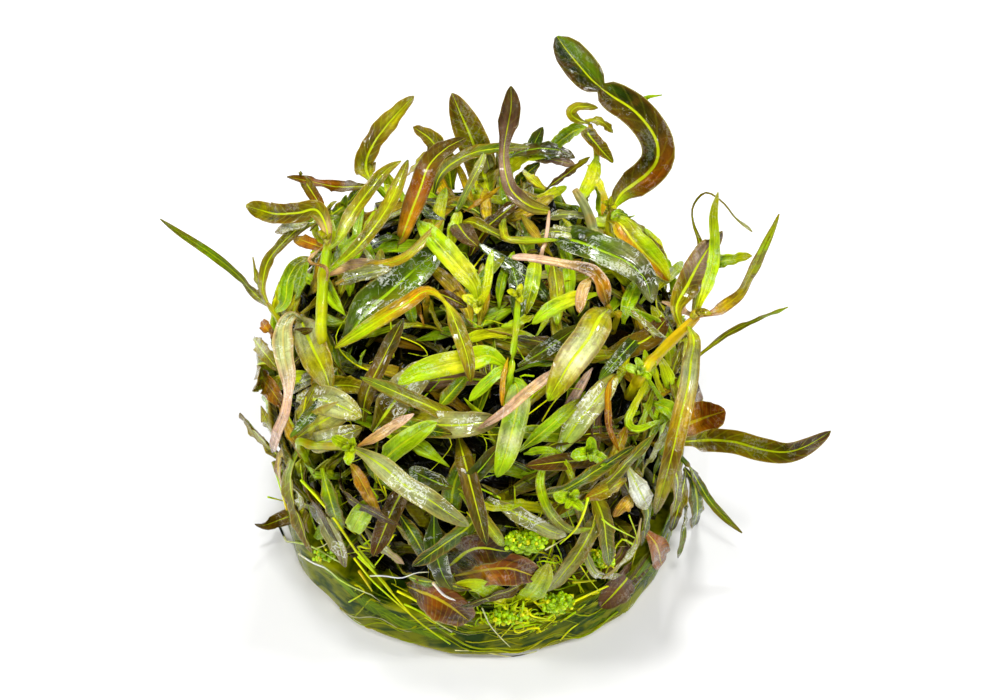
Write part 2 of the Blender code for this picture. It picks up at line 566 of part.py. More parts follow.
def mound_profile(share):
    """Radius and height on the mound at a share of the way from bottom centre to top centre."""
    low = CAKE_HEIGHT + GAP
    foot = MOUND_FOOT_RADIUS + (MOUND_RADIUS - MOUND_FOOT_RADIUS) * low / MOUND_SHOULDER
    angle = np.linspace(0, math.pi / 2, MOUND_PROFILE_POINTS)
    cap_r = MOUND_RADIUS * np.cos(angle).clip(0) ** (2 / MOUND_ROUNDNESS)
    cap_z = MOUND_SHOULDER + (MOUND_TOP - MOUND_SHOULDER) * np.sin(angle) ** (2 / MOUND_ROUNDNESS)
    radius = np.concatenate([[0, foot], cap_r])
    height = np.concatenate([[low, low], cap_z])
    length = np.concatenate([[0], np.cumsum(np.hypot(np.diff(radius), np.diff(height)))])
    floor = MOUND_FLOOR_SHARE
    at = np.where(share < floor, share / floor * length[1],
                  length[1] + (share - floor) / (1 - floor) * (length[-1] - length[1]))
    return np.interp(at, length, radius), np.interp(at, length, height)


def make_thicket(beds, collection):
    """The cushion: a ball drawn onto the mound's outline, lumpy, and sunk under each leaf.

    beds are points of the leaves that lie on it.
    """
    frame = bmesh.new()
    bmesh.ops.create_uvsphere(frame, u_segments=MOUND_MERIDIANS, v_segments=MOUND_RINGS, radius=1)
    low = CAKE_HEIGHT + GAP
    for vert in frame.verts:
        polar = math.acos(max(-1, min(1, vert.co.z)))
        turn = math.atan2(vert.co.y, vert.co.x)
        radius, height = mound_profile(np.array(1 - polar / math.pi))
        plain = np.array([radius * math.cos(turn), radius * math.sin(turn), height])
        if height > low + WELD:
            out = mound_normal(plain)
            stretch = Vector((plain[0], plain[1], plain[2] * LUMP_STRETCH)) / LUMP_SIZE
            raise_by = LUMP_DEPTH * (noise.noise(stretch) - LUMP_LEVEL)
            offset = beds - plain
            above = offset @ out
            beside = np.linalg.norm(offset - above[:, None] * out, axis=1)
            near = (beside < LEAF_BED_REACH) & (above > -LEAF_BED_DEPTH)
            if near.any():
                raise_by = min(raise_by, above[near].min() - LEAF_BED_GAP)
            plain = plain + out * raise_by
            plain[2] = max(plain[2], low + MOUND_LOWEST)
        vert.co = Vector(plain)
    mesh = bpy.data.meshes.new("leaf_thicket")
    frame.to_mesh(mesh)
    frame.free()
    return add_object("leaf_thicket", mesh, OLIVE, collection)


def inside_outline(points):
    """Whether the mound lies before or behind each point in the reference view."""
    depth = np.linspace(*OUTLINE_REACH, OUTLINE_STEPS)[:, None, None]
    return mound_lift(EYE + depth * (points - EYE)).min(axis=0) < TUFT_PROUD


def tuft_paths(ribs):
    """Midribs and widths of small leaves that stand out of the mound all round, seeded.

    Each springs from the cushion, heads along its surface and rises off it. One that comes
    too near a rib, a stem or the callus, reaches the gel or breaks the clump's outline in the
    view is tried again.
    """
    chance = random.Random(TUFT_SEED)
    made = []
    for k in range(TUFT_COUNT):
        turn = k * math.pi * (3 - math.sqrt(5))
        for _ in range(TUFT_TRIES):
            radius, height = mound_profile(np.array(chance.uniform(*TUFT_SHARES)))
            base = np.array([radius * math.cos(turn), radius * math.sin(turn), height])
            out = mound_normal(base)
            aside = np.cross(out, [0, 0, 1.0])
            aside /= np.linalg.norm(aside)
            upward = np.cross(aside, out)
            heading = chance.uniform(-math.pi, math.pi)
            length = chance.uniform(*TUFT_LENGTHS)
            level = (math.sin(heading) * aside + math.cos(heading) * upward) * length
            rise = chance.uniform(*TUFT_RISES) * length * out
            width = chance.uniform(*TUFT_WIDTHS)
            path = [base + along * level + off * rise for along, off in TUFT_SHAPE]
            path = smooth_path([base - TUFT_ROOT * out, *path], TUFT_POINTS)
            gaps = np.linalg.norm(ribs[:, None] - path[None, 1:], axis=2)
            if (gaps.min() > width / 2 + TUFT_CLEARANCE
                    and path[:, 2].min() > CAKE_HEIGHT + TUFT_LOWEST
                    and inside_outline(path).all()):
                made.append((path, width))
                ribs = np.vstack([ribs, path[2:]])
                break
    return made


def keep_largest(thing):
    """Removes loose crumbs that a cut leaves, and keeps the main body."""
    frame = bmesh.new()
    frame.from_mesh(thing.data)
    left = set(frame.verts)
    bodies = []
    while left:
        reached = set()
        front = [next(iter(left))]
        while front:
            vert = front.pop()
            if vert not in reached:
                reached.add(vert)
                front.extend(edge.other_vert(vert) for edge in vert.link_edges)
        bodies.append(reached)
        left -= reached
    largest = max(bodies, key=len)
    bmesh.ops.delete(frame, geom=[v for v in frame.verts if v not in largest], context="VERTS")
    frame.to_mesh(thing.data)
    frame.free()


def combine(thing, others, operation):
    """Applies an exact Boolean of thing with each of the others in turn."""
    for other in others:
        step = thing.modifiers.new(operation.lower(), "BOOLEAN")
        step.operation = operation
        step.solver = "EXACT"
        step.object = other
        depsgraph = bpy.context.evaluated_depsgraph_get()
        mesh = bpy.data.meshes.new_from_object(thing.evaluated_get(depsgraph))
        thing.modifiers.remove(step)
        thing.data = mesh


def hide_cutters(collection):
    for cutter in collection.objects:
        cutter.hide_render = True
        cutter.display_type = "WIRE"


def make_cake_room(collection):
    """A drum slightly larger than the cake, which keeps the thicket's low leaves off it."""
    frame = bmesh.new()
    depth = CAKE_HEIGHT + CAKE_ROOM_DEPTH
    bmesh.ops.create_cone(frame, cap_ends=True, segments=CAKE_STEPS, depth=depth,
                          radius1=CAKE_RADIUS + GAP, radius2=CAKE_RADIUS + GAP)
    bmesh.ops.translate(frame, verts=frame.verts,
                        vec=(0, 0, CAKE_HEIGHT + CAKE_ROOM_RISE - depth / 2))
    mesh = bpy.data.meshes.new("cake_room")
    frame.to_mesh(mesh)
    frame.free()
    return add_object("cake_room", mesh, None, collection)


def make_callus(collection):
    """The lump of unshaped growth: a ball with a knobbly skin."""
    centre = Vector(place(*CALLUS_PLACE))
    mesh = bpy.data.meshes.new("callus")
    frame = bmesh.new()
    bmesh.ops.create_icosphere(frame, subdivisions=3, radius=1)
    for vert in frame.verts:
        knob = 1 + sum(height * noise.noise(vert.co * pitch) for pitch, height in CALLUS_KNOBS)
        vert.co = Vector(a * b * knob for a, b in zip(vert.co, CALLUS_RADII)) + centre
    frame.to_mesh(mesh)
    frame.free()
    return add_object("callus", mesh, LIME, collection)


def clear_scene():
    for thing in list(bpy.data.objects):
        bpy.data.objects.remove(thing)


def new_collection(name):
    collection = bpy.data.collections.new(name)
    bpy.context.scene.collection.children.link(collection)
    return collection


def main():
    clear_scene()
    parts = new_collection("aquarium_plant_clump")
    cutters = new_collection("cutters")
    fused = new_collection("fused_leaves")

    make_cake(parts)

    stems = {}
    for name, (radius, foot, colour, seen) in STEMS.items():
        stems[name] = (radius * MM, stem_path(foot, [place(*p) for p in seen]), colour)
    for name, (radius, foot, colour, points) in BACK_STEMS.items():
        stems[name] = (radius * MM, stem_path(foot, np.array(points) * MM), colour)
    for name, (radius, path, colour) in stems.items():
        make_stem(name, radius, path, colour, parts)
        make_stem(name + "_bore", radius + BORE_PLAY, path, None, cutters)

    beds = []
    ribs = [path for _, path, _ in stems.values()]
    for name, (carrier, width, fold, rolls, colour, seen) in LEAVES.items():
        points = [place(*p) for p in seen]
        if carrier:
            stem, drop = carrier
            points.insert(0, leaf_start(stems[stem][:2], drop, points[0], width * MM))
        path = smooth_path(points, leaf_steps(points))
        ribs.append(path)
        beds.append(make_leaf(name, path, width * MM, fold, rolls, colour, parts,
                              node=PAIR_NODES.get(name)))
    for name, (stem, width, colour, left, right) in BACK_PAIRS.items():
        top = stems[stem][1][-1] + np.array([0, 0, PAIR_ABOVE_STEM])
        path = smooth_path([*(np.array(left) * MM), top, *(np.array(right) * MM)], PAIR_POINTS)
        node = np.linalg.norm(path - top, axis=1).argmin() / (PAIR_POINTS - 1)
        ribs.append(path)
        beds.append(make_leaf(name, path, width * MM, PAIR_FOLD, (0, 0), colour, parts,
                              facing=0, node=node))
    callus = np.array([v.co for v in make_callus(parts).data.vertices])
    beds.append(callus)
    ribs.append(callus)

    thicket = make_thicket(np.vstack(beds), parts)
    for k, (width, seen) in enumerate(LOW_LEAVES):
        points = [place(*p) for p in seen]
        make_leaf(f"low_{k}", smooth_path(points, LOW_LEAF_POINTS), width * MM, FUSED_FOLD,
                  (0, 0), None, fused)
    for k, (path, width) in enumerate(tuft_paths(np.vstack(ribs))):
        make_leaf(f"tuft_{k}", path, width, FUSED_FOLD, (0, 0), None, fused, facing=0)
    combine(thicket, list(fused.objects), "UNION")
    bores = [mesh_of_curve(cutter, cutters) for cutter in list(cutters.objects)]
    combine(thicket, [*bores, make_cake_room(cutters)], "DIFFERENCE")
    keep_largest(thicket)
    hide_cutters(cutters)
    hide_cutters(fused)


main()
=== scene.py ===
import json
import math

import bpy
import numpy as np
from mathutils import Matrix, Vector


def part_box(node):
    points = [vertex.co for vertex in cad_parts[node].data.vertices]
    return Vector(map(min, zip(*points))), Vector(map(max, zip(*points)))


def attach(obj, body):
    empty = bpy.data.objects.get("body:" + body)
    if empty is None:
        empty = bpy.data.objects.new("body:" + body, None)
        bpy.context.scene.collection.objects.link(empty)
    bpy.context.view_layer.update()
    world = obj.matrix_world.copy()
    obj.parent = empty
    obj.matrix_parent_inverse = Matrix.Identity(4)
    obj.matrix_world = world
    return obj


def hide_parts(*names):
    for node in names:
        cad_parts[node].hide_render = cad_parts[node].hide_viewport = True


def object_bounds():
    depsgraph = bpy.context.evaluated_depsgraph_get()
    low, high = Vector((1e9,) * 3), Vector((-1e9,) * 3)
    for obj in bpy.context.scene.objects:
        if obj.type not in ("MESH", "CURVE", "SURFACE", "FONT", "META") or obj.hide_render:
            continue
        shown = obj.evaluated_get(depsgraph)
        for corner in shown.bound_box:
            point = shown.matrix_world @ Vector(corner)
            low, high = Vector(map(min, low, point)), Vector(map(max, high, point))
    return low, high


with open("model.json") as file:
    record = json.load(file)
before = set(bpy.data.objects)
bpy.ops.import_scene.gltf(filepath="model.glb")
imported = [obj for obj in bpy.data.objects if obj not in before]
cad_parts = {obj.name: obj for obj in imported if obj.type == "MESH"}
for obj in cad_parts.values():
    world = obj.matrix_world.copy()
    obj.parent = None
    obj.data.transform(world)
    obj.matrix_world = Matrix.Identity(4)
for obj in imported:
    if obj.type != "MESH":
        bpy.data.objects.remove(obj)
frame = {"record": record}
cadBox = [list(corner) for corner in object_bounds()]
mm = 0.001
goldenTurn = math.pi * (3 - math.sqrt(5))
slotOf = {part["node"]: part["material_slot"] for part in frame["record"]["subparts"]}

# The view that the clump is seen in: a 1000 x 700 picture from in front, looking down on it.
# Leaves in it are placed by pixels across and down, and a lift in mm off the mound.
view = {
    "width": 1000, "height": 700, "lens": 105, "sensor": 36,
    "tilt": math.radians(47), "distance": 0.595, "aimAcross": 0.0041, "aimUp": 0.031,
    "nearest": 0.445, "farthest": 0.725, "steps": 1600, "lean": 0.45,
}
focal = view["lens"] / view["sensor"] * view["width"]
ahead = np.array([0, math.cos(view["tilt"]), -math.sin(view["tilt"])])
upward = np.array([0, math.sin(view["tilt"]), math.cos(view["tilt"])])
across = np.array([1.0, 0, 0])
eye = view["aimAcross"] * across + view["aimUp"] * upward - view["distance"] * ahead

# The cushion of leaves is a slightly flared wall under a flattened dome, on the cake of gel
gelHigh = np.array(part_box("gel_cake")[1])
gel = {"radius": gelHigh[0], "height": gelHigh[2]}
mound = {"foot": 0.038, "radius": 0.041, "shoulder": 0.042, "top": 0.062, "roundness": 2.6}

# Colours of leaves and stems, as red, green and blue from 0 to 1
hues = {
    "lime": (0.27, 0.42, 0.001), "yellow": (0.45, 0.44, 0.002), "fresh": (0.16, 0.29, 0.001),
    "green": (0.07, 0.125, 0.002), "deep": (0.011, 0.021, 0.001), "olive": (0.12, 0.11, 0.001),
    "khaki": (0.27, 0.25, 0.002), "bronze": (0.08, 0.047, 0.001), "brown": (0.055, 0.017, 0.001),
    "umber": (0.052, 0.033, 0.002), "rust": (0.20, 0.054, 0.001), "orange": (0.36, 0.155, 0.002),
    "gold": (0.42, 0.27, 0.003), "purple": (0.10, 0.055, 0.03), "mauve": (0.24, 0.155, 0.095),
    "pink": (0.64, 0.42, 0.29), "peach": (0.54, 0.35, 0.14), "grey": (0.17, 0.18, 0.045),
    "silver": (0.30, 0.32, 0.12), "cream": (0.54, 0.52, 0.26), "white": (0.72, 0.74, 0.60),
}
lookOfHue = {
    "lime": "fresh", "yellow": "fresh", "fresh": "fresh", "green": "olive", "olive": "olive",
    "khaki": "olive", "deep": "dark", "bronze": "bronze", "umber": "bronze", "brown": "bronze",
    "purple": "bronze", "rust": "orange", "orange": "orange", "gold": "orange", "mauve": "pink",
    "pink": "pink", "peach": "pink", "grey": "pale", "silver": "pale", "cream": "pale", "white": "pale",
}


def unit(vectors):
    return vectors / np.maximum(np.linalg.norm(vectors, axis=-1, keepdims=True), 1e-9)


# Angles of evenly spaced points round a full turn
def fullTurn(count):
    return np.arange(count) * 2 * math.pi / count


# Points at a reach from the upright axis, a turn round it and a height
def turned(reach, turn, height):
    return np.stack(np.broadcast_arrays(reach * np.cos(turn), reach * np.sin(turn), height), -1)


# Distance along a line at each of its points
def runAlong(line):
    return np.concatenate([[0], np.linalg.norm(np.diff(line, axis=0), axis=1).cumsum()])


# Where a line is at a distance along it, or a run of colours at a share of it
def pointAt(line, run, at):
    return np.stack([np.interp(at, run, line[:, k]) for k in range(3)], axis=-1)


# Height above the mound along its own normal: distance from the flared wall below the
# shoulder, and above it the dome's level (a power mean of both reaches) less one, over its slope
def moundLift(points):
    reach = np.hypot(points[..., 0], points[..., 1])
    up = points[..., 2]
    flare = (mound["radius"] - mound["foot"]) / mound["shoulder"]
    wall = reach - (mound["foot"] + flare * np.clip(up, 0, mound["shoulder"]))
    power, crown = mound["roundness"], mound["top"] - mound["shoulder"]
    out = np.maximum(reach, 1e-6) / mound["radius"]
    above = np.maximum(up - mound["shoulder"], 1e-6) / crown
    level = (out ** power + above ** power) ** (1 / power)
    slope = level ** (1 - power) * np.hypot(out ** (power - 1) / mound["radius"],
                                            above ** (power - 1) / crown)
    return np.where(up < mound["shoulder"], wall, (level - 1) / slope)


# Outward direction of the mound: the slope of its lift
def moundNormal(points):
    step = 0.2 * mm
    slope = [moundLift(points + side) - moundLift(points - side) for side in np.eye(3) * step]
    return unit(np.stack(slope, axis=-1))


# Each spot is (across, down, lift) or (across, down, lift, nearer). Its point is where the
# line of sight first comes within the lift of the mound, or passes it most closely.
def place(spots):
    spots = np.array([(*spot, 0)[:4] for spot in spots], float)
    sight = (ahead + np.outer(spots[:, 0] - view["width"] / 2, across) / focal
             - np.outer(spots[:, 1] - view["height"] / 2, upward) / focal)
    depth = np.linspace(view["nearest"], view["farthest"], view["steps"])
    points = eye + depth[None, :, None] * sight[:, None]
    heights = moundLift(points) - spots[:, 2:3] * mm
    inside = heights < 0
    meets = inside.any(axis=1)
    at = np.where(meets, inside.argmax(axis=1), heights.argmin(axis=1))
    row = np.arange(len(spots))
    now, before = heights[row, at], heights[row, at - 1]
    share = np.where(meets, before / (before - now), 1)[:, None]
    hit = points[row, at - 1] + share * (points[row, at] - points[row, at - 1])
    passed = points[row, at] - view["lean"] * now[:, None] * sight
    return np.where(meets[:, None], hit, passed) - spots[:, 3:] * mm * sight


# Evenly spaced points along a rounded curve through the given points
def smoothPath(points, count, fineness=12):
    points = np.asarray(points, float)
    ends = [2 * points[0] - points[1], *points, 2 * points[-1] - points[-2]]
    t = np.linspace(0, 1, fineness, endpoint=False)[:, None]
    runs = [0.5 * (2 * b + (c - a) * t + (2 * a - 5 * b + 4 * c - d) * t ** 2
                   + (3 * b - a - 3 * c + d) * t ** 3)
            for a, b, c, d in zip(ends, ends[1:], ends[2:], ends[3:])]
    dense = np.vstack([*runs, points[-1:]])
    run = runAlong(dense)
    return pointAt(dense, run, np.linspace(0, run[-1], count))


# Smooth random waves between about -1 and 1: the raised mean of sines along odd directions
waveMix = {"sines": 6, "pitch": (0.7, 1.4), "gain": 1.7}


def ripple(points, size, seed):
    chance = np.random.default_rng(seed)
    count = waveMix["sines"]
    turns = unit(chance.normal(size=(count, 3))) * chance.uniform(*waveMix["pitch"], (count, 1))
    shifts = chance.uniform(0, 2 * math.pi, count)
    waves = np.sin(points @ turns.T * (2 * math.pi / size) + shifts)
    return waves.mean(axis=-1) * waveMix["gain"]


# Width of a lance-shaped leaf at a share of its length, as a share of its greatest width: a
# smooth rise from the stalk, a full middle, and a tip that falls as a power curve
tipPowers = (2.2, 0.6)


def lanceWidth(share, petiole=0.26, fullFrom=0.34, fullTo=0.58):
    rise = np.clip(share / fullFrom, 0, 1)
    rise = petiole + (1 - petiole) * rise ** 2 * (3 - 2 * rise)
    fall = np.clip((share - fullTo) / (1 - fullTo), 0, 1)
    return rise * (1 - fall ** tipPowers[0]) ** tipPowers[1]


# Gaps kept between the growth and the gel or the floor
room = {"onGel": 0.3 * mm, "overGel": 0.5 * mm, "besideGel": 0.8 * mm, "overFloor": 0.6 * mm}


# The mound's outline from the foot of its wall to its top: radius and height
def moundOutline(count=160):
    low = gel["height"] + room["onGel"]
    foot = mound["foot"] + (mound["radius"] - mound["foot"]) * low / mound["shoulder"]
    angle = np.linspace(0, math.pi / 2, count)
    power = 2 / mound["roundness"]
    radius = np.concatenate([[foot], mound["radius"] * np.cos(angle).clip(0) ** power])
    height = np.concatenate([[low], mound["shoulder"] + (mound["top"] - mound["shoulder"])
                             * np.sin(angle) ** power])
    return radius, height


# Radius and height of the outline at shares of the way up along it
def upOutline(share):
    radius, height = moundOutline()
    run = np.concatenate([[0], np.hypot(np.diff(radius), np.diff(height)).cumsum()])
    return np.interp(share * run[-1], run, radius), np.interp(share * run[-1], run, height)


# Points spread evenly by area over the mound: cover is 0 at the foot of the wall, 1 at the top
def onMound(cover, turn):
    radius, height = moundOutline()
    belts = np.hypot(np.diff(radius), np.diff(height)) * (radius[1:] + radius[:-1])
    area = np.concatenate([[0], belts.cumsum()])
    at = np.asarray(cover) * area[-1]
    return turned(np.interp(at, area, radius), turn, np.interp(at, area, height))


# Points are drawn in along the mound's normal where they stand out more than the limit, and
# are kept off the gel
def within(points, limit):
    for _ in range(2):
        over = np.maximum(moundLift(points) - limit, 0)
        points = points - over[..., None] * moundNormal(points)
    nearGel = np.hypot(points[..., 0], points[..., 1]) < gel["radius"] + room["besideGel"]
    low = np.where(nearGel, gel["height"] + room["overGel"], room["overFloor"])
    points[..., 2] = np.maximum(points[..., 2], low)
    return points


# Colours at each share of the length, through evenly spaced hues named in one line
def tintAlong(names, share):
    colours = np.array([hues[name] for name in names.split()])
    return pointAt(colours, np.linspace(0, 1, len(colours)), share)


# A closed skin from rings round many paths: quads join each ring to the next, and fans of
# triangles close both ends. rings is (pieces, stations, round, 3), tips is (pieces, 2, 3),
# marks and tints give each ring point a vector and a colour, whose fourth value is a painted
# shade, how much light reaches it, and kinds gives a finish to a piece.
def ringMesh(name, rings, tips, marks, tints, finishes, kinds=None):
    count, stations, around, _ = rings.shape

    def withTips(values):
        ends = values[:, [0, -1]].mean(axis=2)
        return np.concatenate([values.reshape(count, -1, values.shape[-1]), ends], axis=1)

    points = np.concatenate([rings.reshape(count, -1, 3), tips], axis=1)
    points = np.clip(points, np.array(cadBox[0]), np.array(cadBox[1]))
    first = np.arange(count)[:, None, None] * points.shape[1]
    ring = first + np.arange(stations - 1)[:, None] * around
    here = np.arange(around)
    after = (here + 1) % around
    quads = np.stack([ring + here, ring + after, ring + around + after, ring + around + here], -1)
    first = first[:, :, 0]
    last = first + (stations - 1) * around
    base = first + stations * around + 0 * here
    fans = np.stack([np.stack([base, first + after, first + here], -1),
                     np.stack([base + 1, last + here, last + after], -1)], axis=1)
    corners = np.concatenate([quads.ravel(), fans.ravel()])
    quadCount, fanCount = quads.size // 4, fans.size // 3
    starts = np.concatenate([np.arange(quadCount) * 4, quadCount * 4 + np.arange(fanCount) * 3])
    mesh = bpy.data.meshes.new(name)
    mesh.vertices.add(points.size // 3)
    mesh.vertices.foreach_set("co", points.astype(np.float32).ravel())
    mesh.loops.add(len(corners))
    mesh.loops.foreach_set("vertex_index", corners.astype(np.int32))
    mesh.polygons.add(len(starts))
    mesh.polygons.foreach_set("loop_start", starts.astype(np.int32))
    mesh.polygons.foreach_set("use_smooth", np.ones(len(starts), bool))
    if kinds is not None:
        slots = np.concatenate([np.repeat(kinds, (stations - 1) * around),
                                np.repeat(kinds, 2 * around)])
        mesh.polygons.foreach_set("material_index", slots.astype(np.int32))
    mesh.update(calc_edges=True)
    mark = mesh.attributes.new("leafMark", "FLOAT_VECTOR", "POINT")
    mark.data.foreach_set("vector", withTips(marks).astype(np.float32).ravel())
    colour = mesh.attributes.new("leafTint", "FLOAT_COLOR", "POINT")
    if tints.shape[-1] == 3:
        tints = np.concatenate([tints, np.ones((*tints.shape[:-1], 1))], axis=-1)
    colour.data.foreach_set("color", withTips(tints).astype(np.float32).ravel())
    for finish in finishes:
        mesh.materials.append(finish)
    thing = bpy.data.objects.new(name, mesh)
    bpy.context.scene.collection.objects.link(thing)
    return thing


# A piece rides on the clump's one body and stands for CAD nodes, which it hides; the slot of the
# record that it is given is not used
def settle(thing, slot, *nodes):
    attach(thing, "root")
    if nodes:
        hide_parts(*nodes)
    return thing


# A blade's relief: the softness of its fold at the rib, its waves, the size and seed of its
# crinkles, the width of its groove and its pleats across, by chance and along
bladeForm = {"softFold": 0.01, "waveLean": 1.2, "fineWave": 0.5, "finer": 2.3,
             "crinkle": (2.6 * mm, 3), "fineCrinkle": (1.3 * mm, 4), "fineShare": 0.6,
             "grooveWide": 0.16, "pleats": (6.5, 7, 2), "apart": 50 * mm, "thinnest": 0.4}


# Blades round many midribs. At a share v of the length and an angle a round the section, the
# point is the midrib's, less cos a times half the width to the side, plus sin a times half the
# thickness outwards. The middle surface rises to both margins with the fold, waves along the
# margins, is crinkled, and has a groove over the rib and soft pleats along its length.
def bladeRings(paths, widths, outs, around, look, chance):
    form = bladeForm
    count, stations = widths.shape
    along = unit(np.gradient(paths, axis=1))
    side = unit(np.cross(along, outs))
    out = np.cross(side, along)
    roll = look["roll"][..., None]
    side, out = (side * np.cos(roll) + out * np.sin(roll),
                 out * np.cos(roll) - side * np.sin(roll))
    angle = fullTurn(around)
    u = -np.cos(angle)
    v = np.linspace(0, 1, stations)[None, :, None]
    half = widths[..., None] / 2
    fullness = half / half.max(axis=1, keepdims=True)
    crease = np.sqrt(u ** 2 + form["softFold"]) - math.sqrt(form["softFold"])
    rise = half * np.tan(look["fold"])[:, None, None] * crease
    phase = chance.uniform(0, 2 * math.pi, (count, 1, 1))
    waves = look["waves"][:, None, None] * 2 * math.pi
    wave = (np.sin(waves * v + phase + form["waveLean"] * u)
            + form["fineWave"] * np.sin(form["finer"] * waves * v + 3 * phase - u))
    rise = rise + look["wave"] * fullness * u ** 2 * wave
    shift = phase * form["apart"]
    flat = paths[:, :, None] + shift[..., None] + side[:, :, None] * (half * u)[..., None]
    crinkle = ripple(flat, *form["crinkle"]) + form["fineShare"] * ripple(flat, *form["fineCrinkle"])
    rise = rise + look["crinkle"] * fullness * crinkle
    rise = rise - look["groove"] * fullness * np.exp(-(u / form["grooveWide"]) ** 2)
    byU, byChance, byV = form["pleats"]
    rise = rise + look["pleat"] * fullness * np.sin(byU * u + byChance * phase + byV * v)
    thick = look["thickness"] / 2 * np.minimum(1, form["thinnest"] + fullness) * np.sin(angle)
    rings = (paths[:, :, None] + side[:, :, None] * (half * u)[..., None]
             + out[:, :, None] * (rise + thick)[..., None])
    seed = chance.uniform(0, 1, (count, 1, 1))
    marks = np.stack(np.broadcast_arrays(u, v, seed), axis=-1)
    return rings, paths[:, [0, -1]], marks


# Tubes round many paths: each ring lies square to its path, and its radius follows radii
def tubeRings(paths, radii, around, chance):
    along = unit(np.gradient(paths, axis=1))
    hint = unit(chance.normal(size=(len(paths), 1, 3)) + [0.3, 0.2, 0.1])
    side = unit(np.cross(along, hint))
    out = np.cross(side, along)
    angle = fullTurn(around)
    rings = paths[:, :, None] + radii[..., None, None] * (
        side[:, :, None] * -np.cos(angle)[:, None] + out[:, :, None] * np.sin(angle)[:, None])
    run = np.linalg.norm(np.diff(paths, axis=1), axis=2).cumsum(axis=1)
    run = np.concatenate([np.zeros((len(paths), 1)), run], axis=1)[..., None]
    seed = chance.uniform(0, 1, (len(paths), 1, 1))
    marks = np.stack(np.broadcast_arrays(angle / (2 * math.pi), run / mm, seed), axis=-1)
    return rings, paths[:, [0, -1]], marks


# A socket of a shader tree. Operators on it add Math nodes, so masks read as expressions.
class Wire:
    def __init__(self, recipe, socket):
        self.recipe, self.socket = recipe, socket

    def maths(self, operation, *values):
        sockets = dict(enumerate(values))
        return self.recipe.node("ShaderNodeMath", {"operation": operation}, sockets)

    def __add__(self, other):
        return self.maths("ADD", self, other)

    def __sub__(self, other):
        return self.maths("SUBTRACT", self, other)

    def __rsub__(self, other):
        return self.maths("SUBTRACT", other, self)

    def __mul__(self, other):
        return self.maths("MULTIPLY", self, other)

    def __truediv__(self, other):
        return self.maths("DIVIDE", self, other)

    __radd__, __rmul__ = __add__, __mul__

    def size(self):
        return self.maths("ABSOLUTE", self)

    def fraction(self):
        return self.maths("FRACT", self)

    # 0 below the first value, 1 above the second, and a smooth step between
    def step(self, low, high):
        return self.recipe.node("ShaderNodeMapRange", {"interpolation_type": "SMOOTHSTEP"},
                                {0: self, 1: low, 2: high})

    # a colour or vector times a number
    def times(self, factor):
        return self.recipe.node("ShaderNodeVectorMath", {"operation": "SCALE"},
                                {0: self, "Scale": factor})

    # this colour, and another where the mask is 1
    def mixed(self, mask, other):
        return self.recipe.node("ShaderNodeMix", {"data_type": "RGBA"},
                                {0: mask, 6: self, 7: other}, 2)


# One material and its nodes
class Recipe:
    def __init__(self, name):
        self.material = bpy.data.materials.new(name)
        self.material.use_nodes = True
        self.tree = self.material.node_tree
        self.tree.nodes.clear()
        self.output = self.tree.nodes.new("ShaderNodeOutputMaterial")

    # a node of a type: its settings, then the values or links of its sockets
    def node(self, kind, settings=None, sockets=None, out=0):
        made = self.tree.nodes.new(kind)
        for key, value in (settings or {}).items():
            setattr(made, key, value)
        for key, value in (sockets or {}).items():
            if isinstance(value, Wire):
                self.tree.links.new(value.socket, made.inputs[key])
            elif isinstance(value, tuple) and len(value) == 3 and made.inputs[key].type == "RGBA":
                made.inputs[key].default_value = (*value, 1)
            else:
                made.inputs[key].default_value = value
        return Wire(self, made.outputs[out])

    def attribute(self, name, out):
        return self.node("ShaderNodeAttribute", {"attribute_name": name}, out=out)

    def parts(self, vector):
        split = self.node("ShaderNodeSeparateXYZ", sockets={0: vector}).socket.node
        return [Wire(self, socket) for socket in split.outputs]

    def place(self):
        return self.node("ShaderNodeTexCoord", out="Object")

    # noise whose features are about the given size in metres
    def noise(self, vector, size, detail=2, roughness=0.5, distortion=0):
        return self.node("ShaderNodeTexNoise", sockets={
            "Vector": vector, "Scale": 1 / size, "Detail": detail, "Roughness": roughness,
            "Distortion": distortion})

    def bump(self, height, distance):
        return self.node("ShaderNodeBump", sockets={"Height": height, "Distance": distance})

    def finish(self, surface, volume=None):
        self.tree.links.new(surface.socket, self.output.inputs["Surface"])
        if volume:
            self.tree.links.new(volume.socket, self.output.inputs["Volume"])
        return self.material
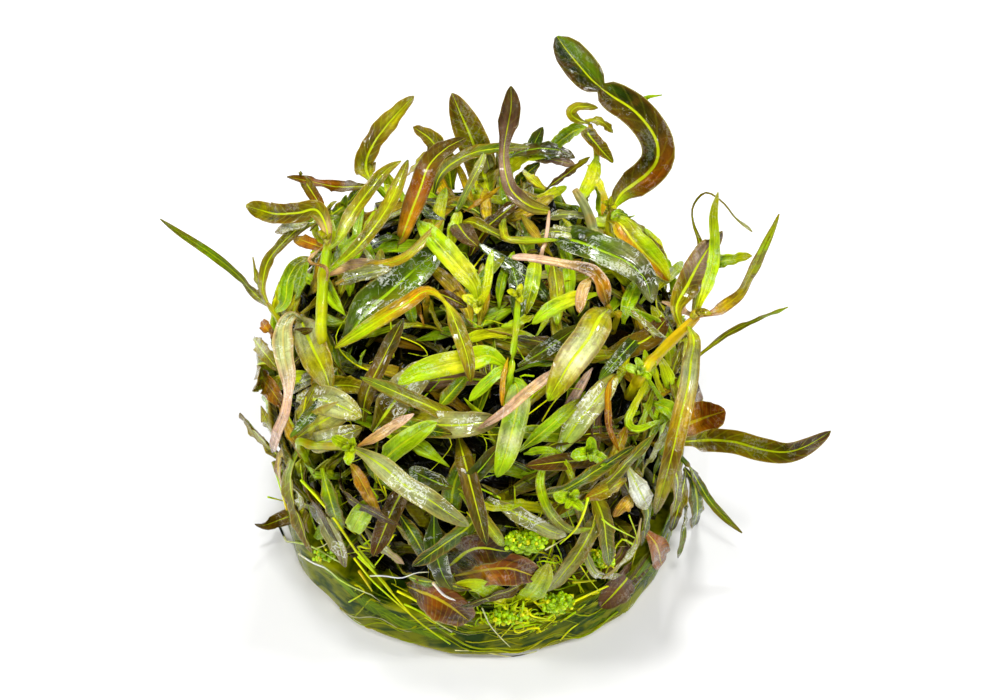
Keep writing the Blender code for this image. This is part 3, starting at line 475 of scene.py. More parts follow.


# Wet leaf flesh: the piece's own tint, mottled and streaked along its length, with a bright rib,
# side veins and a darker margin with a thin pale line, partly its own colour and partly a painted
# edge highlight, brown patches, painted glare as dull white patches, and a film of water over
# part of it. Painted shade darkens the tint and the film of leaves deep in the cushion. Light
# shines through it.
leafLooks = {
    "fresh": {"through": 0.5, "rib": 0.13, "ribShow": 0.6, "ribHue": (0.56, 0.60, 0.01),
              "edgeHue": (0.30, 0.36, 0.003), "edgeShow": 0.5, "brown": 0.12, "veins": 0.3,
              "paintedGlare": 0.15, "film": 0.20, "gloss": 0.20},
    "olive": {"through": 0.45, "rib": 0.15, "ribShow": 0.95, "ribHue": (0.46, 0.55, 0.004),
              "edgeHue": (0.17, 0.085, 0.003), "edgeShow": 0.75, "brown": 0.5, "veins": 0.3,
              "paintedGlare": 0.1, "film": 0.50, "gloss": 0.20},
    "dark": {"through": 0.3, "rib": 0.11, "ribShow": 0.9, "ribHue": (0.26, 0.42, 0.004),
             "edgeHue": (0.04, 0.05, 0.004), "edgeShow": 0.6, "brown": 0.3, "veins": 0.12,
             "paintedGlare": 0.45, "film": 1.0, "gloss": 0.22},
    "bronze": {"through": 0.35, "rib": 0.13, "ribShow": 0.95, "ribHue": (0.40, 0.46, 0.004),
               "edgeHue": (0.06, 0.022, 0.002), "edgeShow": 0.8, "brown": 0.4, "veins": 0.12,
               "paintedGlare": 0.08, "film": 0.30, "gloss": 0.16},
    "orange": {"through": 0.5, "rib": 0.12, "ribShow": 0.7, "ribHue": (0.56, 0.46, 0.01),
               "edgeHue": (0.16, 0.045, 0.002), "edgeShow": 0.7, "brown": 0.7, "veins": 0.3,
               "paintedGlare": 0.1, "film": 0.50, "gloss": 0.20},
    "pink": {"through": 0.5, "rib": 0.11, "ribShow": 0.5, "ribHue": (0.50, 0.38, 0.06),
             "edgeHue": (0.40, 0.19, 0.09), "edgeShow": 0.6, "brown": 0.5, "veins": 0.25,
             "paintedGlare": 0.35, "film": 0.20, "gloss": 0.20},
    "pale": {"through": 0.5, "rib": 0.13, "ribShow": 0.9, "ribHue": (0.44, 0.55, 0.01),
             "edgeHue": (0.22, 0.17, 0.03), "edgeShow": 0.7, "brown": 0.5, "veins": 0.25,
             "paintedGlare": 0.7, "film": 0.80, "gloss": 0.22},
    "sunk": {"through": 0.4, "rib": 0.08, "ribShow": 0.5, "ribHue": (0.20, 0.30, 0.003),
             "edgeHue": (0.10, 0.15, 0.001), "edgeShow": 0.5, "brown": 0.2, "veins": 0.7,
             "paintedGlare": 0.0, "film": 0.0, "gloss": 0.05},
}
# What all leaves share: sizes of the patterns and hues of decay, of the thin margin line with
# its painted edge highlight, and of the painted glare
leafPattern = {"blotch": 2.6 * mm, "grit": 0.42 * mm, "wet": 4.5 * mm, "swirl": 1.7 * mm,
               "relief": 0.3 * mm, "depth": 0.5 * mm, "decayHue": (0.09, 0.03, 0.003),
               "paleMarginAndHighlightHue": (0.48, 0.46, 0.10), "paintedGlareHue": (0.66, 0.68, 0.60)}


def leafFinish(name, look):
    recipe = Recipe(name)
    tint = recipe.attribute("leafTint", "Color")
    u, v, seed = recipe.parts(recipe.attribute("leafMark", "Vector"))
    spot = recipe.place()
    wide = u.size()
    blotch = recipe.noise(spot, leafPattern["blotch"], 3)
    grit = recipe.noise(spot, leafPattern["grit"], 2)
    wet = recipe.noise(spot, leafPattern["wet"], 2, distortion=0.4)
    swirl = recipe.noise(spot, leafPattern["swirl"], 1, distortion=1.2)
    lengthways = recipe.node("ShaderNodeCombineXYZ", sockets={0: u * 3.2, 1: v * 2.6, 2: seed * 9})
    streak = recipe.noise(lengthways, 1, 3, 0.6, 0.3)
    rib = 1 - (wide / ((1.35 - v) * look["rib"])).step(0.5, 1.0)
    edge = (wide + streak * 0.3).step(0.70, 1.15)
    rim = wide.step(0.90, 0.97) * streak.step(0.35, 0.65)
    slanted = (v * 15 - wide * 1.5 + seed).fraction() - 0.5
    vein = 1 - slanted.size().step(0.04, 0.14)
    decay = (blotch + v * 0.14).step(0.60, 0.74) * look["brown"]
    crackle = 1 - ((swirl - 0.5).size() * 30).step(0.3, 1.0)
    # Painted glare: white squiggles and specks of wet glare painted into the colour
    paintedGlare = (crackle + streak.step(0.50, 0.58) * grit.step(0.42, 0.56)) * wet.step(0.48, 0.56)
    flesh = tint.times(blotch * 1.5 + streak * 2.2 + grit * 0.5 - 1.05)
    flesh = flesh.mixed(decay, leafPattern["decayHue"])
    flesh = flesh.mixed(edge * look["edgeShow"], look["edgeHue"])
    flesh = flesh.mixed(vein * look["veins"] * blotch, look["ribHue"])
    # The thin pale line at the margin: partly the margin's own colour, partly a painted edge highlight
    flesh = flesh.mixed(rim * 0.3, leafPattern["paleMarginAndHighlightHue"])
    flesh = flesh.mixed(rib * look["ribShow"], look["ribHue"])
    flesh = flesh.mixed(paintedGlare.step(0, 1) * look["paintedGlare"], leafPattern["paintedGlareHue"])
    # Painted shade: the tint's fourth value darkens leaves deep in the cushion, and their film
    light = recipe.attribute("leafTint", "Alpha")
    flesh = flesh.times(light)
    film = wet.step(0.48, 0.52) * (1 - crackle * 0.8)
    height = streak * 1.3 + blotch * 0.5 + swirl * 0.4 + grit * 0.04 - rib * 0.4 + vein * 0.08
    skin = recipe.node("ShaderNodeBsdfPrincipled", sockets={
        "Base Color": flesh, "Roughness": 0.05 + wet.step(0.55, 0.75) * 0.10,
        "Normal": recipe.bump(height, leafPattern["relief"]), "IOR": 1.36,
        "Specular IOR Level": look["gloss"], "Coat Weight": film * light * look["film"],
        "Coat Roughness": 0.03, "Coat IOR": 1.38, "Subsurface Weight": look["through"],
        "Subsurface Scale": leafPattern["depth"], "Subsurface Radius": (1.0, 1.0, 0.3)})
    return recipe.finish(skin)


# Stems and roots: juicy, with faint ridges by leafMark's turn round them, and brown blotches
def stemFinish(name):
    recipe = Recipe(name)
    tint = recipe.attribute("leafTint", "Color")
    turn = recipe.parts(recipe.attribute("leafMark", "Vector"))[0]
    blotch = recipe.noise(recipe.place(), 2.0 * mm, 3)
    ridges = ((turn * 7).fraction() - 0.5).size() * 2
    flesh = tint.times(blotch * 0.9 + 0.5 + ridges * 0.12)
    flesh = flesh.mixed(blotch.step(0.58, 0.72) * 0.4, (0.36, 0.20, 0.01))
    skin = recipe.node("ShaderNodeBsdfPrincipled", sockets={
        "Base Color": flesh, "Roughness": 0.05 + blotch * 0.12, "IOR": 1.4,
        "Specular IOR Level": 0.3, "Subsurface Weight": 0.6,
        "Normal": recipe.bump(blotch + ridges * 0.3, 0.25 * mm),
        "Subsurface Scale": 0.7 * mm, "Subsurface Radius": (1.0, 1.0, 0.3)})
    return recipe.finish(skin)


finishes = {name: leafFinish(name + "_leaf", look) for name, look in leafLooks.items()}
lookNames = list(leafLooks)
allLeafFinishes = list(finishes.values())
stemSkin = stemFinish("wet_stem")
print("finishes made")


# Tubes from tubeRings as one piece, with a tint for each station of each tube
def settleTubes(name, tubes, tints, slot, node):
    rings, tips, marks = tubes
    tints = np.broadcast_to(tints[:, :, None], rings.shape)
    settle(ringMesh(name, rings, tips, marks, tints, [stemSkin]), slot, node)


# Stems: radius in mm, foot on the gel (across, back) in mm, hues from foot to top, and the
# points that the view shows
stems = {
    "stem_left": (1.4, (-24, 14), "lime yellow yellow lime", [(325, 345, 1), (322, 320, 4),
        (322, 290, 7), (326, 262, 9.5), (328, 244, 11)]),
    "stem_far_left": (0.8, (-31, 4), "green lime khaki", [(293, 346, 1), (283, 326, 2.5),
        (268, 304, 4)]),
    "stem_centre": (0.85, (3, -4), "green lime lime", [(508, 392, 0.8), (511, 372, 3), (513, 350, 5),
        (516, 328, 7), (518, 300, 9)]),
    "stem_right": (1.35, (24, -2), "olive lime yellow gold", [(636, 384, 0.8), (655, 358, 3),
        (672, 340, 5), (690, 325, 7), (697, 317, 8)]),
    "stem_thick": (1.25, (16, 20), "green green silver", [(598, 252, 0), (589, 215, 4), (575, 190, 8)]),
    "stem_arch": (0.9, (26, 17), "lime lime khaki", [(613, 252, 0.5), (608, 228, 4), (612, 209, 8)]),
    "stem_top": (0.8, (10, 28), "lime lime khaki", [(580, 214, 0), (590, 184, 4), (597, 155, 8),
        (590, 124, 8)]),
    "stem_whorl": (1.0, (-27, -14), "green lime khaki", [(300, 446, 0.8), (325, 446, 3),
        (350, 447, 6)]),
    "stem_upper_left": (0.8, (-16, 22), "green lime lime", [(392, 206, 0), (382, 192, 4),
        (371, 181, 7)]),
    "stem_pink": (0.5, (8, 14), "khaki pink pink", [(540, 264, 0), (547, 232, 4), (549, 211, 6)]),
    "stem_olive": (0.7, (-10, 8), "olive olive", [(426, 312, 0), (428, 297, 5)]),
    "stem_cream": (0.8, (19, 6), "olive khaki", [(616, 322, 0), (607, 304, 4)]),
    "stem_low_right": (0.7, (33, -7), "green green", [(676, 452, 0), (689, 466, 3)]),
}
backStems = {
    "stem_back_left": (1.0, (-17, 24), "green lime", [(-20, 36, 20), (-22, 44, 24), (-23, 48, 28)]),
    "stem_back": (1.1, (3, 29), "green khaki", [(4, 40, 23), (6, 47, 28), (7, 50, 32)]),
    "stem_back_right": (0.9, (21, 20), "green lime", [(26, 32, 17), (29, 38, 19), (30, 42, 23)]),
}
stemShape = {"foot": 2.5 * mm, "taper": 0.3, "points": 4, "stations": 40, "around": 14,
             "nodeEvery": 6.5 * mm, "nodeSwell": 0.28, "nodeLength": 0.7 * mm, "end": 0.6,
             "tintLength": 1.3, "nodeTint": 0.5}


# The stem's line from its foot on the gel, through its seen points
def stemLine(foot, points):
    start = np.array([foot[0] * mm, foot[1] * mm, gel["height"] + room["onGel"]])
    upright = start + [0, 0, stemShape["foot"]]
    return np.vstack([start, upright, smoothPath(points, stemShape["points"])])


# A tapered tube that swells at its nodes, which are counted down from its top
def makeStem(node, radius, line, names, shape, chance):
    path = smoothPath(line, shape["stations"])
    run = np.linspace(0, 1, shape["stations"])
    length = np.linalg.norm(np.diff(path, axis=0), axis=1).sum()
    fromTop = (1 - run) * length
    toNode = np.abs((fromTop / shape["nodeEvery"] + 0.5) % 1 - 0.5) * shape["nodeEvery"]
    swell = 1 + shape["nodeSwell"] * np.exp(-(toNode / shape["nodeLength"]) ** 2)
    radii = radius * (1 - shape["taper"] * run) * swell
    radii[-1] *= shape["end"]
    tubes = tubeRings(path[None], radii[None], shape["around"], chance)
    atNode = np.exp(-(toNode / (shape["tintLength"] * shape["nodeLength"])) ** 2)[:, None]
    tints = tintAlong(names, run) * (1 - shape["nodeTint"] * atNode)
    tints = tints + np.array(hues["orange"]) * shape["nodeTint"] * atNode
    settleTubes(node + "_skin", tubes, tints[None], slotOf[node], node)


chance = np.random.default_rng(21)
stemLines = {}
for node, (radius, foot, names, seen) in stems.items():
    stemLines[node] = (radius * mm, stemLine(foot, place(seen)), names)
for node, (radius, foot, names, points) in backStems.items():
    stemLines[node] = (radius * mm, stemLine(foot, np.array(points) * mm), names)
for node, (radius, line, names) in stemLines.items():
    makeStem(node, radius, line, names, stemShape, chance)
print("stems made", len(stemLines))

# Leaves of their own: the stem and how far below its top in mm, or none; greatest width in mm,
# fold and roll at the tip in degrees, hues from base to tip, and the midrib
leaves = {
    "leaf_arch": (("stem_arch", 0), 6.5, 14, 0, "olive umber umber deep umber umber deep deep",
        [(621, 194, 9), (634, 184, 9), (647, 174, 9), (657, 160, 9), (657, 143, 9), (648, 126, 9),
        (632, 109, 9), (612, 96, 9), (593, 81, 9), (578, 64, 9), (565, 48, 9), (557, 36, 9)]),
    "leaf_arch_partner": (("stem_arch", 1.5), 1.9, 10, 0, "lime lime lime", [(626, 190, 8, -4),
        (645, 174, 8, -4), (653, 150, 8, -4), (646, 122, 8, -4), (644, 100, 8, -4), (662, 95, 8, -4)]),
    "leaf_top_curl": (("stem_top", 0), 2.2, 10, 0, "olive khaki olive", [(579, 121, 8), (571, 114, 8),
        (578, 107, 8), (598, 108, 8)]),
    "leaf_top_drop": (("stem_top", 3), 3.0, 25, 30, "olive umber olive", [(588, 134, 8, 3),
        (600, 149, 8, 3), (613, 163, 8, 3)]),
    "leaf_top_green": (("stem_top", 1.2), 3.2, 20, 0, "lime green fresh", [(578, 130, 8), (566, 137, 8),
        (550, 151, 8)]),
    "leaf_orange_edge": (("stem_arch", 2.5), 5.0, 20, 0, "lime khaki lime yellow", [(620, 224, 7),
        (632, 240, 7), (646, 255, 6), (658, 267, 5), (669, 281, 4)]),
    "leaf_olive_broad": (None, 6.2, 18, 0, "deep green deep green grey deep grey", [(545, 235, 1),
        (572, 240, 4.5), (600, 250, 6), (628, 263, 6), (645, 280, 5), (652, 303, 3)]),
    "leaf_grey_purple": (("stem_pink", 0), 4.2, 22, 0, "khaki purple mauve purple purple umber",
        [(530, 206, 7.5), (512, 191, 8), (505, 170, 8, 4), (504, 150, 8, 7), (507, 130, 8, 7),
        (511, 108, 8, 7), (511, 86, 8, 7)]),
    "leaf_dark_upright": (None, 6.4, 14, 0, "green olive olive bronze", [(490, 196, 1),
        (481, 165, 3, -2), (470, 135, 3, -2), (459, 110, 3, -2), (452, 93, 3, -2)]),
    "leaf_folded_orange": (None, 4.2, 20, 0, "khaki orange rust bronze bronze umber", [(398, 247, 1),
        (403, 235, 6), (411, 213, 8), (420, 190, 8, 4), (429, 166, 8, 7), (446, 149, 8, 7),
        (466, 138, 8, 6)]),
    "leaf_brown_arch": (("stem_upper_left", 0), 4.6, 18, 0, "lime khaki olive bronze khaki olive",
        [(366, 168, 7), (370, 151, 7), (381, 133, 7), (396, 115, 7), (414, 96, 7)]),
    "leaf_brown_level": (("stem_upper_left", 1.5), 2.8, 15, 0, "olive bronze rust bronze",
        [(358, 187, 7), (335, 187, 7), (310, 182, 7), (287, 177, 7)]),
    "leaf_olive_left": (("stem_left", 0), 4.0, 12, 0, "peach olive bronze olive khaki",
        [(326, 226, 11, 2), (316, 210, 11, 2), (298, 213, 11, 2), (276, 214, 11, 2), (260, 210, 11, 2),
        (246, 206, 11, 2)]),
    "leaf_lime_long": (("stem_left", 1.5), 2.8, 20, 0, "lime khaki olive khaki", [(340, 238, 11, 3),
        (353, 213, 11, 3), (370, 190, 11, 4), (386, 171, 11, 4), (401, 161, 11, 4)]),
    "leaf_olive_long": (("stem_left", 6), 2.7, 20, 0, "lime olive khaki olive", [(346, 258, 10, 1),
        (366, 238, 11, 2), (385, 212, 11, 4), (397, 188, 11, 6), (408, 160, 11, 7)]),
    "leaf_far_left": (("stem_far_left", 1.5), 1.8, 15, 0, "khaki olive fresh olive", [(256, 295, 4),
        (240, 277, 4), (220, 260, 4), (200, 246, 4), (180, 233, 4), (160, 219, 4)]),
    "leaf_arching_left": (("stem_far_left", 0), 2.4, 15, 0, "khaki olive olive fresh", [(263, 288, 5),
        (268, 262, 6), (283, 243, 7), (300, 228, 7), (320, 219, 6), (340, 217, 5)]),
    "leaf_green_left": (("stem_far_left", 3), 2.9, 20, 0, "lime fresh green olive", [(285, 302, 5),
        (288, 281, 6), (296, 266, 6), (309, 257, 5)]),
    "leaf_speckled": (None, 7.2, 14, 0, "deep green deep green deep", [(342, 346, 1), (366, 313, 3),
        (392, 290, 3.5), (420, 265, 3.5), (441, 249, 3)]),
    "leaf_silver": (None, 2.8, 15, 0, "green grey olive green grey", [(434, 194, 1), (440, 176, 4, 2),
        (455, 162, 5, 3), (477, 152, 5, 3), (505, 148, 5, 3), (530, 147, 5, 3)]),
    "leaf_lime_v": (None, 4.2, 14, 0, "lime yellow lime lime", [(479, 309, 1), (474, 286, 4.5),
        (455, 262, 6), (436, 241, 6.5), (418, 221, 6)]),
    "leaf_pair_olive": (None, 2.9, 16, 0, "khaki lime gold orange yellow olive khaki bronze",
        [(335, 348, 4), (355, 336, 5), (380, 320, 6), (406, 304, 7), (428, 291, 7.2), (447, 305, 8),
        (460, 335, 8.5), (468, 360, 8.5), (471, 382, 8)]),
    "leaf_pink_arch": (("stem_cream", 0), 2.9, 10, 0, "umber orange brown peach pink pink",
        [(604, 292, 7), (601, 281, 8.5), (590, 270, 9.5), (560, 263, 9.5), (530, 258, 9),
        (512, 257, 8)]),
    "leaf_big_lime": (("stem_centre", 13), 4.4, 12, 0, "lime lime yellow lime lime", [(490, 356, 5),
        (470, 360, 5), (440, 366, 5), (415, 374, 5), (398, 384, 4.5)]),
    "leaf_white_speckle": (("stem_centre", 16), 4.6, 12, 0, "lime fresh silver fresh silver lime fresh",
        [(516, 384, 4.2), (518, 402, 4.2), (511, 435, 4.2), (504, 460, 4), (497, 477, 3.5)]),
    "leaf_cream": (("stem_cream", 1.2), 6.0, 10, 0, "olive khaki khaki silver cream khaki lime",
        [(599, 319, 6), (588, 339, 7), (572, 360, 7), (560, 380, 6.5), (548, 401, 5)]),
    "leaf_pink_strip": (None, 1.9, 30, 0, "mauve pink peach pink mauve", [(560, 366, 1),
        (545, 379, 4.5), (525, 394, 6.6), (503, 413, 6.6), (478, 429, 4)]),
    "leaf_whorl_long": (("stem_whorl", 0), 4.0, 14, 0, "khaki silver silver grey silver",
        [(366, 455, 6.5), (385, 468, 7), (405, 485, 7), (430, 500, 7), (450, 514, 7), (469, 526, 6)]),
    "leaf_hanging_pink": (None, 4.0, 12, 0, "grey silver silver pink pink pink mauve", [(302, 322, 1),
        (292, 316, 4), (284, 328, 5.5), (284, 352, 5.5), (289, 380, 5), (286, 410, 5), (278, 432, 4),
        (272, 452, 3)]),
    "leaf_right_long": (("stem_right", 0), 2.4, 15, 0, "orange orange gold khaki lime khaki",
        [(712, 313, 8), (724, 306, 8), (739, 294, 8), (750, 275, 8), (762, 250, 8), (772, 230, 8),
        (779, 214, 8)]),
    "leaf_right_upright": (("stem_right", 0.6), 2.6, 20, 0, "yellow lime lime khaki", [(700, 303, 9, 3),
        (705, 290, 9, 4), (712, 266, 9, 4), (714, 240, 9, 4), (713, 215, 9, 4), (718, 192, 9, 4)]),
    "leaf_right_purple": (("stem_right", 4), 5.0, 16, 0, "khaki bronze mauve purple", [(676, 308, 7),
        (688, 284, 8), (699, 263, 8), (710, 246, 8), (722, 231, 8)]),
    "leaf_right_folded": (("stem_right", 1.5), 3.0, 25, 0, "khaki olive bronze olive bronze grey",
        [(697, 300, 8, -4), (701, 282, 8, -4), (702, 262, 8, -4), (699, 242, 8, -4), (693, 224, 8, -4),
        (692, 209, 8, -4), (698, 198, 8, -4), (708, 193, 8, -4), (723, 203, 8, -4), (736, 219, 8, -4),
        (752, 232, 8, -4)]),
    "leaf_right_hanging": (("stem_right", 2.5),
        3.6, 15, 0, "lime khaki silver gold bronze khaki bronze", [(694, 341, 9, 3), (691, 360, 8),
        (688, 385, 7), (681, 415, 6.5), (673, 450, 6), (665, 480, 5.5), (655, 514, 5)]),
    "leaf_round_orange": (None, 7.4, 4, 0, "rust orange rust rust", [(678, 428, 1, -2),
        (690, 423, 2, -3), (706, 417, 2, -3), (725, 411, 2, -3)]),
    "leaf_brown_long": (None, 4.6, 14, 0, "olive olive bronze olive umber brown", [(674, 443, 1),
        (690, 441, 4, 2), (710, 440, 5, 3), (735, 442, 6, 3), (760, 449, 6, 3), (785, 452, 6, 3),
        (806, 446, 6, 3), (831, 431, 6, 3)]),
    "leaf_green_narrow": (("stem_low_right", 0), 1.9, 15, 0, "green deep green olive", [(699, 484, 4),
        (711, 503, 4), (726, 519, 4), (742, 533, 4)]),
}
# The right half of a leaf that is of two colours
rightHues = {
    "leaf_speckled": "deep green olive green fresh green",
    "leaf_orange_edge": "khaki orange orange rust",
    "leaf_arch": "lime bronze rust umber deep green green",
}
# Outlines that aren't plain lance shapes, as (share of length, share of the greatest width)
outlines = {
    "leaf_arch": [(0, 0.12), (0.06, 0.5), (0.2, 0.9), (0.42, 1), (0.62, 1), (0.70, 0.95), (0.735, 0.75),
        (0.755, 0.35), (0.775, 0.7), (0.81, 0.95), (0.87, 1), (0.93, 0.92), (0.975, 0.62), (1, 0.2)],
    "leaf_olive_left": [(0, 0.3), (0.12, 0.6), (0.3, 0.92), (0.5, 1), (0.75, 1), (0.9, 0.86),
        (0.97, 0.6), (1, 0.2)],
    "leaf_grey_purple": [(0, 0.35), (0.08, 0.6), (0.2, 0.75), (0.38, 0.55), (0.55, 0.45), (0.68, 0.6),
        (0.8, 1), (0.9, 0.9), (0.97, 0.5), (1, 0.1)],
    "leaf_pink_arch": [(0, 0.5), (0.15, 1), (0.35, 0.9), (0.5, 0.6), (0.75, 0.55), (0.95, 0.5),
        (1, 0.2)],
    "leaf_hanging_pink": [(0, 0.15), (0.1, 0.7), (0.25, 1), (0.4, 0.85), (0.5, 0.45), (0.62, 0.5),
        (0.82, 0.62), (0.94, 0.45), (1, 0)],
    "leaf_right_folded": [(0, 0.15), (0.15, 0.8), (0.35, 1), (0.48, 0.8), (0.56, 0.35), (0.64, 0.17),
        (0.92, 0.17), (0.97, 0.4), (1, 0)],
    "leaf_round_orange": [(0, 0.35), (0.12, 0.75), (0.3, 0.97), (0.5, 1), (0.7, 0.92), (0.87, 0.68),
        (0.96, 0.4), (1, 0.15)],
}
# How far a leaf is turned to the view, from 0 to 1, where it isn't turned as the others are
turnedToView = {"leaf_arch": 0.95, "leaf_grey_purple": 0.85, "leaf_brown_long": 0.9,
                "leaf_dark_upright": 0.9, "leaf_round_orange": 0.97, "leaf_olive_left": 0.85,
                "leaf_right_hanging": 0.8, "leaf_top_drop": 0.9}
# Pairs that clasp a stem: the share of the length at which the two leaves meet
pairNodes = {"leaf_pair_olive": 0.57}
backPairs = {
    "leaf_pair_back_left": ("stem_back_left", 3.8, "olive khaki yellow khaki olive", [(-34, 46, 17),
        (-33, 49, 25), (-28, 50, 30)], [(-17, 51, 30), (-10, 53, 25), (-7, 53, 17)]),
    "leaf_pair_back": ("stem_back", 4.6, "bronze rust khaki bronze purple", [(-10, 52, 31),
        (-3, 52, 34.5)], [(14, 53, 32), (20, 54.5, 25), (22, 53, 16)]),
    "leaf_pair_back_right": ("stem_back_right", 3.6, "lime fresh yellow lime fresh", [(32, 50, 14),
        (31, 47.5, 21)], [(29, 40, 31), (28, 38.5, 38), (26, 36, 45)]),
}
heroBlade = {"stations": 46, "around": 20, "thickness": 0.36 * mm, "wave": 0.32 * mm,
             "crinkle": 0.09 * mm, "groove": 0.13 * mm, "pleat": 0.11 * mm, "facing": 0.6,
             "narrowest": 0.3 * mm, "wavyFrom": 5 * mm, "pairLift": 1.1 * mm, "pairPoints": 12,
             "backFold": 14, "halves": 4}


# The point of a stem's middle at a drop below its top
def stemPoint(node, drop):
    down = stemLines[node][1][::-1]
    return pointAt(down, runAlong(down), drop * mm)


# Width along a leaf: a special outline, a pair that meets at its node, or a plain leaf
def widthAlong(name, share, node):
    if name in outlines:
        return np.interp(share, *zip(*outlines[name]))
    if node:
        return np.where(share < node, lanceWidth((node - share) / node),
                        lanceWidth((share - node) / (1 - node)))
    return lanceWidth(share)


# One leaf or pair as a piece of its own, in the finish of its commonest hue. A narrow leaf has
# less relief, and a leaf of two colours changes over at its rib.
def makeLeaf(node, points, width, fold, roll, names, facing, meet=None):
    count = heroBlade["stations"]
    path = smoothPath(points, count)
    share = np.linspace(0, 1, count)
    widths = np.maximum(widthAlong(node, share, meet) * width, heroBlade["narrowest"])
    outs = (1 - facing) * moundNormal(path) - facing * ahead
    calm = min(1, width / heroBlade["wavyFrom"])
    look = {"fold": np.radians([fold]), "roll": np.radians(roll) * share[None],
            "waves": np.array([chance.uniform(2, 4)]), "thickness": heroBlade["thickness"],
            **{k: heroBlade[k] * calm for k in ("wave", "crinkle", "groove", "pleat")}}
    rings, tips, marks = bladeRings(path[None], widths[None], outs[None], heroBlade["around"],
                                    look, chance)
    left = tintAlong(names, share)[:, None]
    right = tintAlong(rightHues.get(node, names), share)[:, None]
    toRight = np.clip(0.5 + marks[0, 0, :, 0] * heroBlade["halves"], 0, 1)[:, None]
    tints = np.broadcast_to((left * (1 - toRight) + right * toRight)[None], rings.shape)
    common = max(names.split(), key=names.split().count)
    thing = ringMesh(node + "_blade", rings, tips, marks, tints, [finishes[lookOfHue[common]]])
    settle(thing, slotOf[node], node)


for node, (carrier, width, fold, roll, names, seen) in leaves.items():
    points = place(seen)
    if carrier:
        points = np.vstack([stemPoint(*carrier), points])
    makeLeaf(node, points, width * mm, fold, roll, names,
             turnedToView.get(node, heroBlade["facing"]), pairNodes.get(node))
for node, (stem, width, names, left, right) in backPairs.items():
    top = stemLines[stem][1][-1] + [0, 0, heroBlade["pairLift"]]
    points = [*(np.array(left) * mm), top, *(np.array(right) * mm)]
    path = smoothPath(points, heroBlade["pairPoints"])
    meet = np.linalg.norm(path - top, axis=1).argmin() / (heroBlade["pairPoints"] - 1)
    makeLeaf(node, points, width * mm, heroBlade["backFold"], 0, names, 0, meet)
print("leaves made", len(leaves) + len(backPairs))

